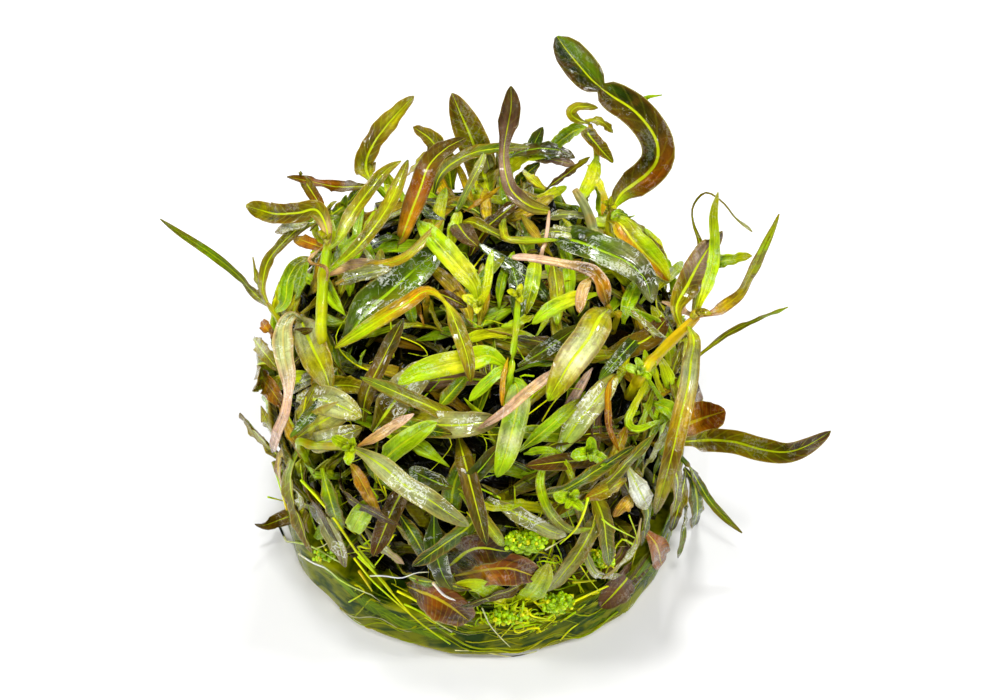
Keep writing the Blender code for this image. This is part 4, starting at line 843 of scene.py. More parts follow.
# Leaves that lie in the cushion and show in the view: width in mm, hues, lifts of base, middle
# and tip in mm, and the midrib's pixels
lyingLeaves = [
    (4.6, "green olive bronze", (-3, 2, 0), (452, 190), (447, 166), (433, 143), (413, 127)),
    (3.2, "olive khaki bronze", (-3, 3, 3), (292, 468), (270, 446), (255, 430), (240, 413)),
    (3.2, "khaki bronze bronze", (-3, 2.5, 3), (308, 508), (285, 518), (268, 524), (255, 524)),
    (1.2, "khaki olive lime", (-3, 4, 4), (684, 372), (697, 357), (730, 332), (760, 318), (788, 307)),
    (3.8, "deep green deep", (-3, 2.3, 2), (684, 468), (693, 482), (697, 505), (694, 529)),
    (2.0, "olive grey green", (-3, 5.2, 5), (674, 482), (685, 505), (684, 528), (678, 558)),
    (5.0, "bronze khaki silver bronze", (-3, 1.6, 1.4), (402, 413), (430, 424), (465, 425), (500, 420)),
    (3.8, "lime fresh lime lime", (-3, 2.3, 2.4), (380, 464), (397, 448), (420, 432), (437, 422)),
    (4.2, "olive bronze brown", (-3, 1, 0.8), (597, 357), (625, 349), (650, 337), (667, 318)),
    (3.8, "grey silver purple", (-3, 1.6, 1.8), (308, 490), (325, 520), (340, 546), (345, 567)),
    (7.0, "brown umber orange rust brown brown", (-2, 3.0, 2.8), (446, 577), (480, 570), (510, 568),
        (540, 578)),
    (3.7, "lime yellow lime yellow", (-1, 3.4, 3.2), (518, 602), (498, 594), (474, 584), (453, 586)),
    (4.6, "khaki lime khaki", (-1, 3.6, 3.4), (520, 604), (531, 594), (542, 578), (548, 563)),
    (3.4, "grey olive silver", (-3, 1.8, 1.8), (606, 498), (595, 522), (576, 556), (548, 591)),
    (1.9, "lime lime olive lime", (-3, 3, 1.8), (556, 452), (545, 465), (540, 485), (550, 512),
        (570, 530), (592, 528)),
    (4.4, "lime silver khaki", (-3, 2, 1.8), (556, 456), (575, 426), (595, 401), (617, 374)),
    (7.6, "umber brown rust brown umber", (-1, 3.2, 3.0), (408, 586), (430, 594), (450, 605),
        (470, 621)),
    (2.6, "gold orange gold", (-3, 3, 2.8), (350, 462), (360, 478), (370, 497), (380, 518)),
    # upper right
    (2.0, "khaki olive", (7, 8, 8), (585, 120), (600, 122), (613, 133)),
    (3.0, "green deep", (5, 7, 7), (560, 158), (535, 150), (543, 127)),
    (2.9, "lime yellow lime", (7, 6.5, 5), (597, 155), (592, 178), (580, 200)),
    (1.7, "gold yellow orange", (5, 6, 5), (588, 165), (603, 195), (602, 215)),
    (1.6, "lime green", (7, 7.5, 7), (611, 219), (616, 213), (628, 216)),
    (2.0, "khaki lime", (1, 3, 3), (655, 292), (663, 283), (683, 262)),
    # top middle
    (3.0, "green bronze deep bronze", (0, 4.5, 4), (505, 158), (530, 150), (555, 150), (575, 158)),
    (2.6, "olive purple mauve", (1, 5.5, 5), (527, 158), (550, 160), (575, 165)),
    (1.6, "bronze brown khaki", (0, 4, 5), (545, 190), (570, 172), (590, 157)),
    (2.0, "yellow khaki", (0, 3.5, 4), (523, 170), (533, 180), (545, 190)),
    (1.7, "silver grey green", (5, 5, 1), (487, 145), (480, 165), (470, 185), (455, 215)),
    (2.0, "green deep", (0, 3, 3), (420, 205), (430, 215), (445, 220)),
    (1.1, "orange gold", (0, 4, 5), (464, 212), (490, 195), (500, 187)),
    (4.2, "bronze purple bronze", (0, 3, 3), (456, 222), (466, 236), (478, 247)),
    (1.6, "lime khaki lime", (0, 4, 3), (505, 215), (503, 230), (512, 240), (560, 240)),
    (2.6, "olive grey silver", (0, 4, 4), (536, 236), (560, 232), (585, 240)),
    # upper left
    (2.4, "olive bronze rust", (5, 7, 6), (300, 172), (305, 181), (325, 212)),
    (2.2, "mauve silver mauve", (6, 8, 8), (310, 222), (294, 226), (275, 232)),
    (2.6, "orange rust gold", (3, 6, 6), (327, 250), (312, 244), (294, 238)),
    (2.2, "gold khaki gold", (3, 6, 6), (405, 178), (420, 162), (441, 149)),
    (1.0, "olive khaki", (4, 5, 5), (263, 297), (257, 278), (253, 257)),
    (1.0, "olive khaki", (4, 5, 5), (264, 282), (263, 268), (266, 254)),
    (0.7, "orange peach rust peach", (10, 11, 10), (328, 243), (313, 255), (310, 262), (326, 268),
        (327, 281)),
    (2.4, "rust peach mauve khaki", (3, 5, 5), (322, 278), (345, 266), (383, 264)),
    (2.8, "khaki grey silver khaki", (2, 4.5, 5), (336, 284), (358, 276), (392, 268)),
    (1.9, "orange gold khaki gold", (3, 6, 6), (336, 284), (370, 268), (400, 260), (420, 245),
        (443, 220)),
    (1.7, "yellow lime", (3, 6, 6), (480, 310), (487, 285), (492, 250)),
    (2.4, "bronze brown bronze", (4, 6, 4), (432, 292), (447, 297), (467, 307)),
    # middle
    (2.2, "gold peach orange", (8, 7, 6), (592, 276), (583, 290), (579, 313)),
    (2.9, "khaki lime olive", (3, 4, 2), (536, 255), (532, 285), (524, 316)),
    (2.9, "olive khaki lime", (1.5, 2.2, 0.6), (553, 262), (557, 292), (557, 326)),
    (3.2, "green deep green", (2, 3, 2), (513, 268), (518, 292), (518, 322)),
    (2.9, "lime yellow lime lime", (6, 6, 5), (597, 294), (570, 300), (550, 310), (532, 324)),
    (1.6, "khaki lime", (3, 5, 5), (534, 316), (518, 323), (501, 327)),
    (2.2, "lime fresh lime", (3, 5, 4), (508, 366), (490, 380), (469, 401)),
    (1.1, "gold orange", (4, 5, 5), (508, 358), (503, 380), (502, 406)),
    (2.9, "olive deep olive", (1, 2.5, 2), (518, 366), (545, 350), (579, 326)),
    (6.0, "olive bronze silver olive", (-2, 1.2, 1), (373, 432), (400, 395), (431, 361)),
    (2.6, "lime green fresh", (0, 1.5, 1), (438, 408), (452, 392), (466, 377)),
    (1.9, "orange peach pink", (5, 6.5, 6), (358, 446), (376, 437), (395, 425), (414, 414)),
    (5.2, "olive khaki silver", (-1, 2, 2.4), (298, 437), (325, 420), (357, 404)),
    (5.6, "khaki olive grey silver khaki", (-1, 2.5, 2.5), (297, 398), (330, 402), (362, 417)),
    (4.0, "olive silver olive", (0, 3, 4), (305, 446), (335, 438), (362, 428)),
    # left wall
    (6.0, "olive silver khaki olive", (0, 2.5, 2), (300, 316), (312, 345), (325, 372), (331, 392)),
    (3.0, "khaki olive", (0, 2.5, 2), (254, 338), (266, 354), (279, 371)),
    (4.2, "rust orange brown", (0, 2, 1.5), (261, 374), (272, 390), (284, 408)),
    (2.2, "orange rust", (0, 3, 3), (274, 338), (268, 330), (262, 321)),
    (2.8, "olive khaki", (0, 2.5, 3), (275, 440), (268, 424), (261, 406)),
    (2.0, "grey silver", (0, 2.5, 2), (290, 482), (300, 498), (297, 511)),
    # lower left
    (3.2, "lime green lime", (0, 2, 1), (322, 468), (331, 500), (341, 531)),
    (4.0, "fresh lime lime", (0, 2.6, 2.5), (377, 495), (363, 512), (352, 531)),
    (1.9, "mauve silver pink", (1, 2.5, 2.5), (364, 528), (380, 545), (404, 564)),
    (4.2, "deep green deep olive", (0, 3.0, 2.8), (434, 514), (435, 546), (442, 572), (452, 590)),
    (6.8, "brown deep brown deep", (-1, 2.4, 2.0), (446, 568), (474, 548), (512, 552)),
    (3.2, "deep green deep", (-1, 1.8, 1.5), (399, 513), (413, 534), (427, 559)),
    (1.3, "lime yellow lime", (1, 3, 3), (458, 488), (480, 503), (500, 508), (522, 504)),
    (2.4, "lime khaki lime", (1, 2.6, 2.4), (460, 493), (480, 515), (492, 530), (504, 546)),
    (3.2, "olive deep green", (1, 2, 1), (452, 488), (430, 479), (409, 469)),
    (2.9, "olive deep bronze", (1, 2.4, 2), (458, 490), (480, 470), (501, 444)),
    (3.0, "olive grey silver", (0, 2.2, 2), (488, 498), (520, 515), (545, 528), (566, 536)),
    # right of the middle
    (1.4, "lime olive", (1, 2.5, 2), (555, 449), (568, 468), (576, 489)),
    (1.4, "fresh lime", (0, 2, 2), (524, 454), (540, 450), (557, 451)),
    (1.3, "gold orange rust orange", (1.8, 3, 3), (616, 374), (609, 386), (608, 410), (610, 430),
        (619, 451)),
    (2.6, "green fresh olive", (0, 2, 1.5), (519, 451), (545, 430), (581, 399)),
    (2.8, "gold khaki orange", (1, 2.5, 2), (626, 479), (605, 490), (584, 499)),
    (3.0, "khaki gold orange", (1, 2.5, 2), (640, 491), (625, 505), (614, 517)),
    (4.0, "silver white silver", (1, 3, 2.5), (627, 466), (636, 484), (648, 508)),
    (1.6, "grey silver olive", (1, 2.5, 2), (582, 539), (590, 565), (600, 575), (622, 575)),
    (1.2, "pink silver peach", (1, 3, 2.5), (641, 518), (635, 545), (620, 565), (602, 578)),
    # right
    (1.5, "peach pink peach", (3, 5, 5), (662, 302), (677, 307), (693, 316)),
    (1.5, "lime yellow lime lime", (0, 3, 3), (652, 372), (640, 395), (628, 420), (637, 429),
        (661, 420)),
    (1.6, "lime khaki", (1, 3, 3), (649, 378), (652, 366), (654, 353)),
    (3.0, "fresh lime olive", (0, 3, 3), (653, 403), (670, 410), (681, 427)),
    (3.0, "deep olive deep", (0, 2.6, 2.4), (686, 468), (680, 500), (671, 531)),
    (4.8, "rust rust rust", (0, 2.2, 2), (645, 530), (656, 545), (661, 566)),
    (6.0, "brown purple brown", (0, 2.4, 2.2), (634, 566), (620, 586), (600, 607)),
    (2.8, "green fresh khaki", (0, 7, 7), (700, 290), (712, 266), (735, 260), (752, 256)),
]
lyingBlade = {"stations": 26, "around": 14, "thickness": 0.34 * mm, "wave": 0.30 * mm,
              "crinkle": 0.08 * mm, "groove": 0.10 * mm, "pleat": 0.10 * mm, "facing": 0.55,
              "fold": (6, 24), "further": 0.5, "narrowest": 0.25 * mm}
# Small rosettes of young leaves: pixels, lift in mm, leaf length in mm, and hues
rosettes = [
    (590, 452, 3, 5, "lime fresh"), (570, 497, 3, 4.5, "lime lime"), (352, 447, 8, 4, "khaki lime"),
    (639, 372, 4, 4, "lime lime"), (328, 240, 11, 2.5, "yellow khaki"), (697, 313, 9, 3, "gold khaki"),
    (478, 306, 5, 3.5, "lime yellow"), (610, 206, 9, 2.5, "lime khaki"),
        (518, 296, 9, 3, "lime yellow"),
]
# Each rosette's leaves: how far they open and how long they are, with how much more a younger
# one, then the bend of the midrib, the outline, the width per length and where they start
rosetteForm = {"leaves": 5, "turn": 0.4, "open": (0.35, 0.16), "long": (0.4, 0.11),
               "vary": (0.8, 1.15), "middle": (0.8, 1.2), "outline": (0.3, 0.55, 0.68), "wide": 0.52,
               "root": 1.5 * mm, "narrowest": 0.2 * mm, "facing": 0.5, "oddWay": (0.2, 0.1, 1.0)}


# Hues of leaves outside and inside the cushion, and how common each is
outerHues = [("lime lime fresh", 14), ("fresh lime lime", 10), ("lime yellow lime", 7),
             ("khaki olive olive", 14), ("lime olive bronze", 11), ("olive khaki olive", 11),
             ("green fresh olive", 8), ("green green deep", 7), ("olive bronze bronze", 8),
             ("khaki gold orange", 3), ("bronze purple bronze", 3), ("olive grey silver", 5),
             ("rust brown bronze", 3), ("peach mauve pink", 1)]
innerHues = [("green deep deep", 12), ("deep deep green", 10), ("olive bronze brown", 6),
             ("green green deep", 8), ("olive olive bronze", 5), ("brown brown deep", 4)]
quietHues = [("olive green deep", 3), ("khaki olive green", 2), ("green deep green", 4),
             ("fresh green olive", 1), ("olive bronze deep", 3), ("brown umber brown", 1)]
brightHues = [("lime yellow lime", 4), ("yellow lime khaki", 3), ("lime fresh lime", 3),
              ("khaki gold khaki", 2), ("gold khaki orange", 1), ("khaki silver khaki", 1)]


def chooseHues(table, count, chance):
    names, weights = zip(*table)
    weights = np.array(weights, float)
    return list(chance.choice(names, count, p=weights / weights.sum()))


# Sprays of narrow leaves among them, each set round a spot of the view: its middle and spread in
# pixels, its heading and spread in degrees from straight up, the count, and the lifts in mm
sprays = {
    "seed": 41, "lengths": (34, 78), "widths": (1.1, 3.0), "bend": 0.28, "centre": (478, 348),
    "reach": (206, 202), "lowest": -2.0, "bright": 0.8,
    "patches": (
        ((345, 245), (30, 28), 25, 32, 18, (1.5, 5)), ((415, 218), (34, 22), 10, 40, 16, (1, 4)),
        ((510, 186), (44, 15), 50, 60, 15, (1, 4)), ((606, 236), (28, 22), -20, 40, 13, (1, 4)),
        ((668, 290), (20, 30), 12, 35, 14, (1, 4)), ((292, 362), (15, 44), -12, 30, 12, (0.5, 2.5)),
        ((658, 404), (18, 40), 12, 30, 12, (0.5, 2.5)), ((470, 300), (60, 40), 0, 60, 12, (0, 2.5))),
}


# Many blades at once, joined in one piece. names gives each blade's hues, and the finish of
# its middle hue is its own.
def makeBlades(name, paths, widths, outs, names, shape, chance, slot=None, node="leaf_thicket"):
    count, stations = widths.shape
    share = np.linspace(0, 1, stations)
    look = {"fold": np.radians(chance.uniform(*shape["fold"], count)),
            "roll": np.radians(chance.normal(0, shape.get("roll", 6), (count, 1))) * share,
            "waves": chance.uniform(1.5, 3.5, count),
            **{key: shape[key] for key in ("thickness", "wave", "crinkle", "groove", "pleat")}}
    rings, tips, marks = bladeRings(paths, widths, outs, shape["around"], look, chance)
    tints = np.stack([tintAlong(hue, share) for hue in names])
    tints = tints * chance.uniform(*shape.get("spread", (0.85, 1.2)), (count, 1, 1))
    # Painted shade: the fourth value darkens each station by its depth below the mound's skin
    light = np.ones((count, stations, 1))
    if "paintedShadeDepth" in shape:
        light = np.clip(1.25 + moundLift(paths)[..., None] / shape["paintedShadeDepth"], 0.05, 1)
    tints = np.concatenate([tints, light], axis=-1)[:, :, None]
    tints = np.broadcast_to(tints, (*rings.shape[:-1], 4))
    kinds = [lookNames.index(shape.get("look", lookOfHue[hue.split()[len(hue.split()) // 2]]))
             for hue in names]
    thing = ringMesh(name, rings, tips, marks, tints, allLeafFinishes, np.array(kinds))
    settle(thing, slot or slotOf[node], node)


# Pixels kept inside an oval of the view, by its centre and its half width and height
def insideReach(spots, look):
    away = spots - look["centre"]
    out = np.linalg.norm(away / look["reach"], axis=1, keepdims=True)
    return look["centre"] + away / np.maximum(out, 1)


# The leaves of the table: points, hues and widths
def lyingRows(shape, share):
    for width, hue, lifts, *pixels in lyingLeaves:
        at = np.interp(np.linspace(0, 1, len(pixels)), (0, 0.5, 1), lifts) + shape["further"]
        points = place([(*spot, lift) for spot, lift in zip(pixels, at)])
        yield points, hue, np.maximum(lanceWidth(share) * width * mm, shape["narrowest"])


# The leaves of the sprays: each heads its own way, with a bend that grows along it
def sprayRows(look, shape, share, chance):
    t = np.linspace(0, 1, 4)[:, None]
    for middle, spread, heading, turn, count, lifts in look["patches"]:
        for _ in range(count):
            way = np.radians(chance.normal(heading, turn))
            way = np.array([math.sin(way), -math.cos(way)])
            bend = chance.normal(0, look["bend"]) * np.array([-way[1], way[0]])
            spots = insideReach(chance.normal(middle, spread) + chance.uniform(*look["lengths"]) * (
                (t - 0.5) * way + t ** 2 * bend), look)
            at = look["lowest"] + (chance.uniform(*lifts) - look["lowest"]) * np.sqrt(t)
            table = brightHues if chance.random() < look["bright"] else outerHues
            hue = chooseHues(table, 1, chance)[0]
            width = lanceWidth(share) * chance.uniform(*look["widths"]) * mm
            yield place(np.hstack([spots, at])), hue, np.maximum(width, shape["narrowest"])


# The leaves of the rosettes, which stand round a line between outwards and towards the view
def rosetteRows(look, share, chance):
    for x, y, lift, length, hue in rosettes:
        core = place([(x, y, lift)])[0]
        out = unit(moundNormal(core) - look["facing"] * ahead)
        side = unit(np.cross(out, look["oddWay"]))
        for k in range(look["leaves"]):
            turn = k * goldenTurn + chance.uniform(-look["turn"], look["turn"])
            ring = math.cos(turn) * side + math.sin(turn) * np.cross(out, side)
            younger = look["leaves"] - k
            opened = look["open"][0] + look["open"][1] * younger
            reach = length * mm * (look["long"][0] + look["long"][1] * younger)
            reach = reach * chance.uniform(*look["vary"])
            low, high = look["middle"]
            middle = core + reach * 0.5 * (low * math.sin(opened) * ring
                                           + high * math.cos(opened) * out)
            tip = core + reach * (math.sin(opened) * ring + math.cos(opened) * out)
            width = lanceWidth(share, *look["outline"]) * reach * look["wide"]
            yield [core - look["root"] * out, middle, tip], hue, np.maximum(width, look["narrowest"])


# All of them, each on its own smooth midrib, in one piece
def makeLyingLeaves(shape):
    chance = np.random.default_rng(sprays["seed"])
    share = np.linspace(0, 1, shape["stations"])
    rows = [*lyingRows(shape, share), *sprayRows(sprays, shape, share, chance),
            *rosetteRows(rosetteForm, share, chance)]
    points, names, widths = zip(*rows)
    paths = np.array([smoothPath(line, len(share)) for line in points])
    outs = (1 - shape["facing"]) * moundNormal(paths) - shape["facing"] * ahead
    makeBlades("thicket_lying_leaves", paths, np.array(widths), outs, names, shape, chance)


makeLyingLeaves(lyingBlade)
print("lying leaves made", len(lyingLeaves))

# Tufts: small leaves that stand out of the cushion all round. Each has the number of golden
# turns to it, its base's share of the way up the outline, its heading along the surface in
# degrees from straight up, its length in mm, its rise per length, and its width in mm.
tufts = [
    (0, 0.112, -105, 24.1, 0.31, 6.0), (1, 0.314, -144, 15.6, 0.49, 4.0),
    (2, 0.435, 128, 21.4, 0.11, 6.0), (3, 0.168, -98, 20.6, 0.52, 5.1),
    (4, 0.342, 150, 17.0, 0.07, 4.2), (5, 0.679, 30, 16.4, 0.08, 3.6),
    (6, 0.715, 29, 19.4, 0.51, 3.8), (7, 0.12, -72, 21.8, 0.17, 4.0),
    (8, 0.339, -119, 19.5, 0.21, 4.1), (9, 0.134, 111, 15.6, 0.49, 4.0),
    (10, 0.367, -43, 23.5, 0.55, 4.1), (11, 0.271, -98, 21.9, 0.23, 4.5),
    (12, 0.317, -109, 20.3, 0.3, 4.5), (13, 0.795, -28, 22.9, 0.13, 4.6),
    (14, 0.719, -88, 19.0, 0.09, 4.1), (15, 0.614, -159, 24.5, 0.29, 4.9),
    (17, 0.348, 143, 17.4, 0.37, 5.6), (18, 0.264, 17, 15.8, 0.08, 4.0),
    (19, 0.346, 92, 17.5, 0.21, 4.9), (20, 0.536, 2, 23.5, 0.43, 4.8),
    (21, 0.259, -125, 15.2, 0.33, 4.6), (22, 0.161, -32, 18.6, 0.18, 5.9),
    (23, 0.41, -59, 24.8, 0.39, 3.7), (24, 0.409, -81, 15.2, 0.16, 4.2),
    (25, 0.256, -170, 16.7, 0.12, 3.8), (26, 0.284, 165, 15.1, 0.34, 5.5),
    (27, 0.376, -146, 18.3, 0.46, 4.1), (28, 0.465, 167, 17.2, 0.28, 5.3),
    (29, 0.449, -132, 24.0, 0.2, 4.6), (31, 0.396, -175, 22.7, 0.2, 5.0),
    (32, 0.723, -90, 17.0, 0.37, 4.2), (33, 0.63, -174, 17.2, 0.41, 4.1),
    (34, 0.582, 63, 24.7, 0.09, 3.8), (35, 0.3, -169, 16.6, 0.09, 4.9),
    (36, 0.61, 66, 24.9, 0.49, 4.3), (37, 0.207, -129, 21.4, 0.54, 3.8),
    (38, 0.372, -47, 18.1, 0.13, 5.0), (39, 0.252, 177, 17.0, 0.49, 3.9),
    (40, 0.849, 132, 20.1, 0.09, 4.3), (41, 0.576, -75, 15.2, 0.42, 4.4),
    (42, 0.356, -139, 15.3, 0.32, 3.6), (44, 0.157, 95, 19.7, 0.59, 4.3),
    (45, 0.324, -163, 20.6, 0.28, 5.8), (46, 0.31, -144, 22.8, 0.14, 5.4),
    (47, 0.518, 124, 15.2, 0.15, 3.6), (48, 0.181, 52, 16.0, 0.08, 3.8),
    (52, 0.463, 65, 22.7, 0.17, 4.5), (53, 0.326, -74, 20.2, 0.06, 5.1),
    (54, 0.359, -72, 24.8, 0.41, 3.8), (56, 0.37, 102, 17.2, 0.49, 5.4),
]
tuftLeaf = {"seed": 30, "root": 4 * mm, "shape": ((0.3, 0.35), (0.65, 0.6), (0.95, 0.65)),
              "seenBelow": -0.25, "lower": 0.2, "narrower": 0.7}
# Shoots rooted on the gel, which end on the mound, with pairs of leaves at their nodes
shoots = {"seed": 5, "count": 170, "stations": 16, "rootReach": 36 * mm, "tipLift": (-8, -1.5),
          "nodes": (1.2, 3.6, 6.8, 10.6, 15.0, 20.0, 26.0), "firstLength": 6.5, "lengthStep": 3.1,
          "longest": 23, "slender": (6.5, 11), "limit": 1.0, "seenBelow": -0.012,
          "lowBelow": 40 * mm, "sunkShare": 0.7, "sunkBy": 4.0,
          "rimFrom": 17 * mm, "rimAbove": 24 * mm, "rimShare": 0.55, "turnSpread": 0.12,
          "coverSpread": 0.01, "taken": 0.97, "footInside": 1.5 * mm, "tipAbove": 3 * mm,
          "knee": (0.2, 0.2, 0.75), "kneeSpread": 2.0, "kneeAbove": 1.5 * mm, "clear": 1.5 * mm,
          "tangent": 0.5 * mm, "vary": (0.8, 1.2), "opening": (16, 9.5, 9),
          "bend": (0.35, 0.25, 0.18, 0.12), "least": -1.0, "seenBy": 1.2, "outward": 0.4,
          "deepBelow": -4 * mm, "deepShare": 0.75, "quietShare": 0.5, "stalk": (0.75, 0.35),
          "stalkAround": 7}
# Leaves pressed on the outside of the cushion, and darker ones inside it
pressed = {"seed": 8, "count": 240, "lengths": (17, 30), "slender": (6.5, 10.5), "lifts": (-3.5, 1.4)}
inner = {"seed": 9, "count": 620, "lengths": (20, 32), "slender": (3.4, 5.6), "lifts": (-10, -2.5)}
leaning = {"lowest": 0.02, "heading": 1.3, "bend": 0.35, "seenBy": 1.2, "above": 1 * mm,
           "tilt": 0.35, "rounds": 3}
smallBlade = {"stations": 9, "around": 8, "thickness": 0.32 * mm, "wave": 0.5 * mm,
              "crinkle": 0.06 * mm, "groove": 0.10 * mm, "pleat": 0.04 * mm, "fold": (10, 50),
              "roll": 42, "paintedShadeDepth": 3.6 * mm, "spread": (0.4, 1.6), "narrowest": 0.22 * mm}


# Leaves that lean along the mound: from a base, by a heading in the surface, with a sideways
# bend, each point then set at a lift that runs from the first to the second value
def leaningPaths(bases, headings, lengths, bends, lifts, stations):
    out = moundNormal(bases)
    aside = unit(np.cross(out, [0, 0, 1.0]) + [1e-6, 0, 0])
    upwards = np.cross(aside, out)
    onward = np.sin(headings)[:, None] * aside + np.cos(headings)[:, None] * upwards
    beside = np.cross(out, onward)
    share = np.linspace(0, 1, stations)[None, :, None]
    paths = (bases[:, None] + onward[:, None] * lengths[:, None, None] * share
             + beside[:, None] * (bends * lengths)[:, None, None] * share ** 2)
    for _ in range(leaning["rounds"]):
        wanted = lifts[:, :1] + (lifts[:, 1:] - lifts[:, :1]) * share[..., 0]
        paths = paths - (moundLift(paths) - wanted)[..., None] * moundNormal(paths)
    return paths


# Shoots: a curve from a foot on the gel, up and out to a tip under the mound's skin. The
# leaves of a pair open on opposite sides, each pair is turned a quarter from the last, and
# they grow longer and open wider down the shoot.
def growShoots(look):
    chance = np.random.default_rng(look["seed"])
    count = look["count"]
    cover = (np.arange(count) + 0.5) / count
    turn = np.arange(count) * goldenTurn + chance.normal(0, look["turnSpread"], count)
    tips = onMound(np.clip(cover + chance.normal(0, look["coverSpread"], count), 0, 1), turn)
    tips = tips + moundNormal(tips) * chance.uniform(*look["tipLift"], (count, 1)) * mm
    reach = look["rootReach"] * np.sqrt(1 - cover * look["taken"])
    feet = turned(reach, turn, gel["height"] + room["onGel"])
    reach = np.minimum(np.hypot(tips[:, 0], tips[:, 1]) - look["footInside"], reach)[:, None]
    feet[:, :2] = unit(feet[:, :2]) * np.maximum(reach, 0)
    tips[:, 2] = np.maximum(tips[:, 2], gel["height"] + look["tipAbove"])
    spread = chance.normal(0, look["kneeSpread"], (count, 3)) * mm
    knees = feet + (tips - feet) * look["knee"] + spread
    knees[:, 2] = np.maximum(knees[:, 2], gel["height"] + look["kneeAbove"])
    t = np.linspace(0, 1, look["stations"])[None, :, None]
    lines = (feet[:, None] * (1 - t) ** 2 + knees[:, None] * 2 * t * (1 - t)
             + tips[:, None] * t ** 2)
    bases, axes, tipward, order = [], [], [], []
    for line, twist in zip(lines, chance.uniform(0, math.pi, count)):
        run = runAlong(line)
        for k, below in enumerate(look["nodes"]):
            at = run[-1] - below * mm
            if at < look["clear"]:
                break
            base = pointAt(line, run, at)
            along = unit(pointAt(line, run, at + look["tangent"])
                         - pointAt(line, run, at - look["tangent"]))
            first = unit(np.cross(along, [0.31, 0.17, 0.93]))
            angle = twist + k * math.pi / 2
            axis = math.cos(angle) * first + math.sin(angle) * np.cross(along, first)
            for sign in (1, -1):
                bases.append(base)
                axes.append(sign * axis)
                tipward.append(along)
                order.append(k)
    return lines, np.array(bases), np.array(axes), np.array(tipward), np.array(order)


def makeShoots(look, shape):
    chance = np.random.default_rng(look["seed"] + 100)
    lines, bases, axes, tipward, order = growShoots(look)
    count = len(bases)
    lengths = look["firstLength"] + look["lengthStep"] * order
    lengths = np.minimum(lengths * chance.uniform(*look["vary"], count), look["longest"]) * mm
    young, each, vary = look["opening"]
    opening = np.radians(young + each * order + chance.normal(0, vary, count))[:, None]
    heading = np.cos(opening) * tipward + np.sin(opening) * axes
    away, back, vary, drop = look["bend"]
    bend = away * axes - back * tipward + chance.normal(0, vary, (count, 3)) + [0, 0, -drop]
    share = np.linspace(0, 1, shape["stations"])[None, :, None]
    paths = bases[:, None] + lengths[:, None, None] * (heading[:, None] * share
                                                       + bend[:, None] * share ** 2)
    seen = bases @ ahead < look["seenBelow"]
    # Seen leaves low in front are sunk deeper, where the painted shade darkens them
    sunk = seen & (bases[:, 2] < look["lowBelow"]) & (chance.random(count) < look["sunkShare"])
    limits = chance.uniform(look["least"], look["limit"], count) - look["seenBy"] * seen
    paths = within(paths, (limits - look["sunkBy"] * sunk)[:, None] * mm)
    widths = lanceWidth(share[..., 0]) * (lengths / chance.uniform(*look["slender"], count))[:, None]
    widths = np.maximum(widths, shape["narrowest"])
    outs = tipward[:, None] + look["outward"] * moundNormal(paths)
    deep = moundLift(paths[:, -3]) < look["deepBelow"]
    names = np.where(deep & (chance.random(count) < look["deepShare"]),
                     chooseHues(innerHues, count, chance), chooseHues(outerHues, count, chance))
    names = np.where(seen & (chance.random(count) < look["quietShare"]),
                     chooseHues(quietHues, count, chance), names)
    rim = (np.abs(bases[:, 0]) > look["rimFrom"]) & (bases[:, 2] > look["rimAbove"])
    names = np.where(rim & (chance.random(count) < look["rimShare"]),
                     chooseHues(brightHues, count, chance), names)
    half = count // 2
    for part, span in (("low", slice(0, half)), ("high", slice(half, None))):
        makeBlades(f"thicket_shoot_leaves_{part}", paths[span], widths[span], outs[span],
                   list(names[span]), shape, chance)
    run = np.linspace(0, 1, look["stations"])
    thick, taper = look["stalk"]
    radii = np.broadcast_to((thick - taper * run) * mm, lines.shape[:2])
    tubes = tubeRings(lines, radii, look["stalkAround"], chance)
    tints = np.stack([tintAlong(hue, run) for hue in chance.choice(
        ["green lime lime", "olive lime khaki", "green olive lime", "deep green lime"], len(lines))])
    settleTubes("thicket_shoot_stems", tubes, tints, slotOf["leaf_thicket"], "leaf_thicket")
    return count


# Leaves spread over the mound, each at random lifts of its base and tip, and turned at random
def makePressed(name, look, shape, table):
    chance = np.random.default_rng(look["seed"])
    count = look["count"]
    bases = onMound(chance.uniform(leaning["lowest"], 1, count),
                    chance.uniform(0, 2 * math.pi, count))
    lengths = chance.uniform(*look["lengths"], count) * mm
    lifts = chance.uniform(*look["lifts"], (count, 2)) * mm
    lifts = lifts - (bases @ ahead < shoots["seenBelow"])[:, None] * leaning["seenBy"] * mm
    paths = leaningPaths(bases, chance.normal(0, leaning["heading"], count), lengths,
                         chance.normal(0, leaning["bend"], count), lifts, shape["stations"])
    paths = within(paths, look["lifts"][1] * mm + leaning["above"])
    widths = lanceWidth(np.linspace(0, 1, shape["stations"]))[None] * (
        lengths / chance.uniform(*look["slender"], count))[:, None]
    widths = np.maximum(widths, shape["narrowest"])
    outs = moundNormal(paths) + chance.normal(0, leaning["tilt"], (count, 1, 3))
    makeBlades(name, paths, widths, outs, chooseHues(table, count, chance), shape, chance)


